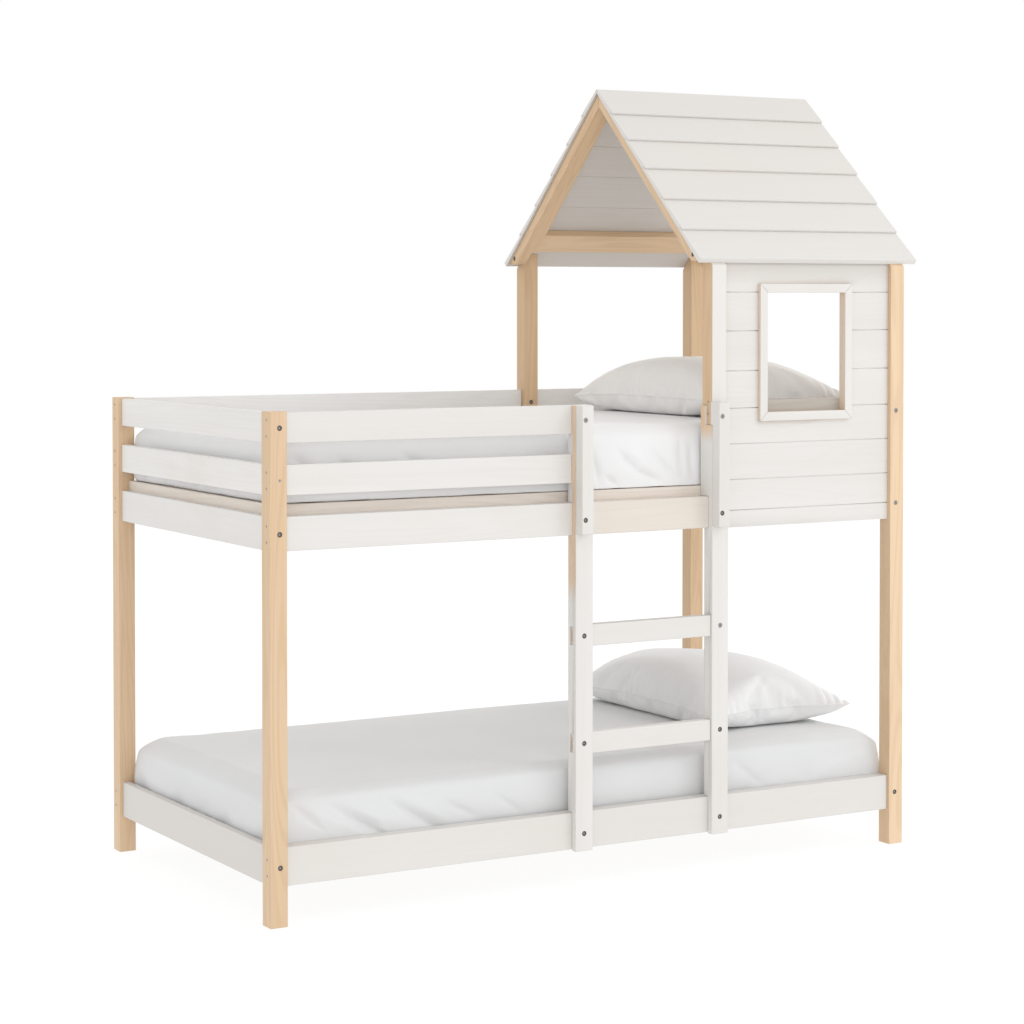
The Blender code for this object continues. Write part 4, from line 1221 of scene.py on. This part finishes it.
def add_bedding():
    linen = cotton("cotton_linen", *LINEN)
    add_mattress("lower", LOWER_DROP, LOWER_CREASES, cotton("cotton_shaded_cover", *SHADED_COVER))
    add_mattress("upper", UPPER_DROP, UPPER_CREASES, linen)
    add_pillow("lower", linen)
    add_pillow("upper", cotton("cotton_pillowcase", *PILLOWCASE))


# Stage, light and camera


FLOOR_REACH = 30
# The floor lies this far under the feet, so that the two never share a plane
FLOOR_DROP = 0.0005
# The floor glows, so that it is as pale as the background, and is grey enough to take soft shadows
FLOOR_GREY = 0.16
FLOOR_GLOW = 0.87


def add_stage():
    mesh = bpy.data.meshes.new("floor")
    bm = bmesh.new()
    bmesh.ops.create_grid(bm, x_segments=1, y_segments=1, size=FLOOR_REACH)
    bm.to_mesh(mesh)
    bm.free()
    floor = bpy.data.objects.new("floor", mesh)
    floor.location.z = -FLOOR_DROP
    bpy.context.scene.collection.objects.link(floor)
    material = bpy.data.materials.new("floor")
    material.use_nodes = True
    shader = material.node_tree.nodes["Principled BSDF"]
    shader.inputs["Base Color"].default_value = (FLOOR_GREY, FLOOR_GREY, FLOOR_GREY, 1)
    shader.inputs["Roughness"].default_value = 1.0
    shader.inputs["Specular IOR Level"].default_value = 0.0
    shader.inputs["Emission Color"].default_value = (1, 1, 1, 1)
    shader.inputs["Emission Strength"].default_value = FLOOR_GLOW
    mesh.materials.append(material)


# Each light's place, the point it looks at, its size and its power in watts
LIGHTS = {
    "key": ((3.6, -4.6, 4.9), (0.4, 0, 1.1), 1.6, 42),
    "front": ((-1.5, -6.7, 1.8), (0, 0, 1.0), 2.4, 38),
    "side": ((5.4, -0.5, 2.0), (0.8, 0, 1.3), 1.8, 50),
    "back": ((2.9, 4.0, 3.3), (0.6, 0, 1.2), 1.8, 34),
}


def add_area_light(name, position, target, size, power):
    data = bpy.data.lights.new(name, "AREA")
    data.shape = "SQUARE"
    data.size = size
    data.energy = power
    obj = bpy.data.objects.new(name, data)
    obj.location = position
    obj.rotation_mode = "QUATERNION"
    obj.rotation_quaternion = (Vector(target) - Vector(position)).to_track_quat("-Z", "Y")
    bpy.context.scene.collection.objects.link(obj)


def add_lights():
    world = bpy.data.worlds.new("studio")
    bpy.context.scene.world = world
    world.use_nodes = True
    background = world.node_tree.nodes["Background"]
    background.inputs["Color"].default_value = (1, 1, 1, 1)
    background.inputs["Strength"].default_value = 1.0
    for name, values in LIGHTS.items():
        add_area_light(name, *values)


# The camera as fitted to the photo: its focal length in the photo's pixels and its direction
PHOTO_WIDTH = 1024
CAMERA_FOCUS = 2534.87
CAMERA_YAW = math.radians(59.813)
CAMERA_PITCH = math.radians(1.428)
CAMERA_FROM_FOOT_CORNER = Vector((-2.74362, -5.96126, 1.64388))
CAMERA_SHIFT = -0.15
CAMERA_SENSOR = 36.0
CAMERA_REACH = 100


def add_camera():
    data = bpy.data.cameras.new("camera")
    data.sensor_width = CAMERA_SENSOR
    data.lens = CAMERA_FOCUS / PHOTO_WIDTH * CAMERA_SENSOR
    data.shift_y = CAMERA_SHIFT
    data.clip_end = CAMERA_REACH
    camera = bpy.data.objects.new("camera", data)
    camera.location = FOOT_CORNER + CAMERA_FROM_FOOT_CORNER
    forward = Vector(
        (
            math.cos(CAMERA_YAW) * math.cos(CAMERA_PITCH),
            math.sin(CAMERA_YAW) * math.cos(CAMERA_PITCH),
            -math.sin(CAMERA_PITCH),
        )
    )
    camera.rotation_mode = "QUATERNION"
    camera.rotation_quaternion = forward.to_track_quat("-Z", "Y")
    bpy.context.scene.collection.objects.link(camera)
    bpy.context.scene.camera = camera
    bpy.context.scene.view_settings.view_transform = "Standard"


finish_frame()
add_all_fasteners()
add_bedding()
add_stage()
add_lights()
add_camera()
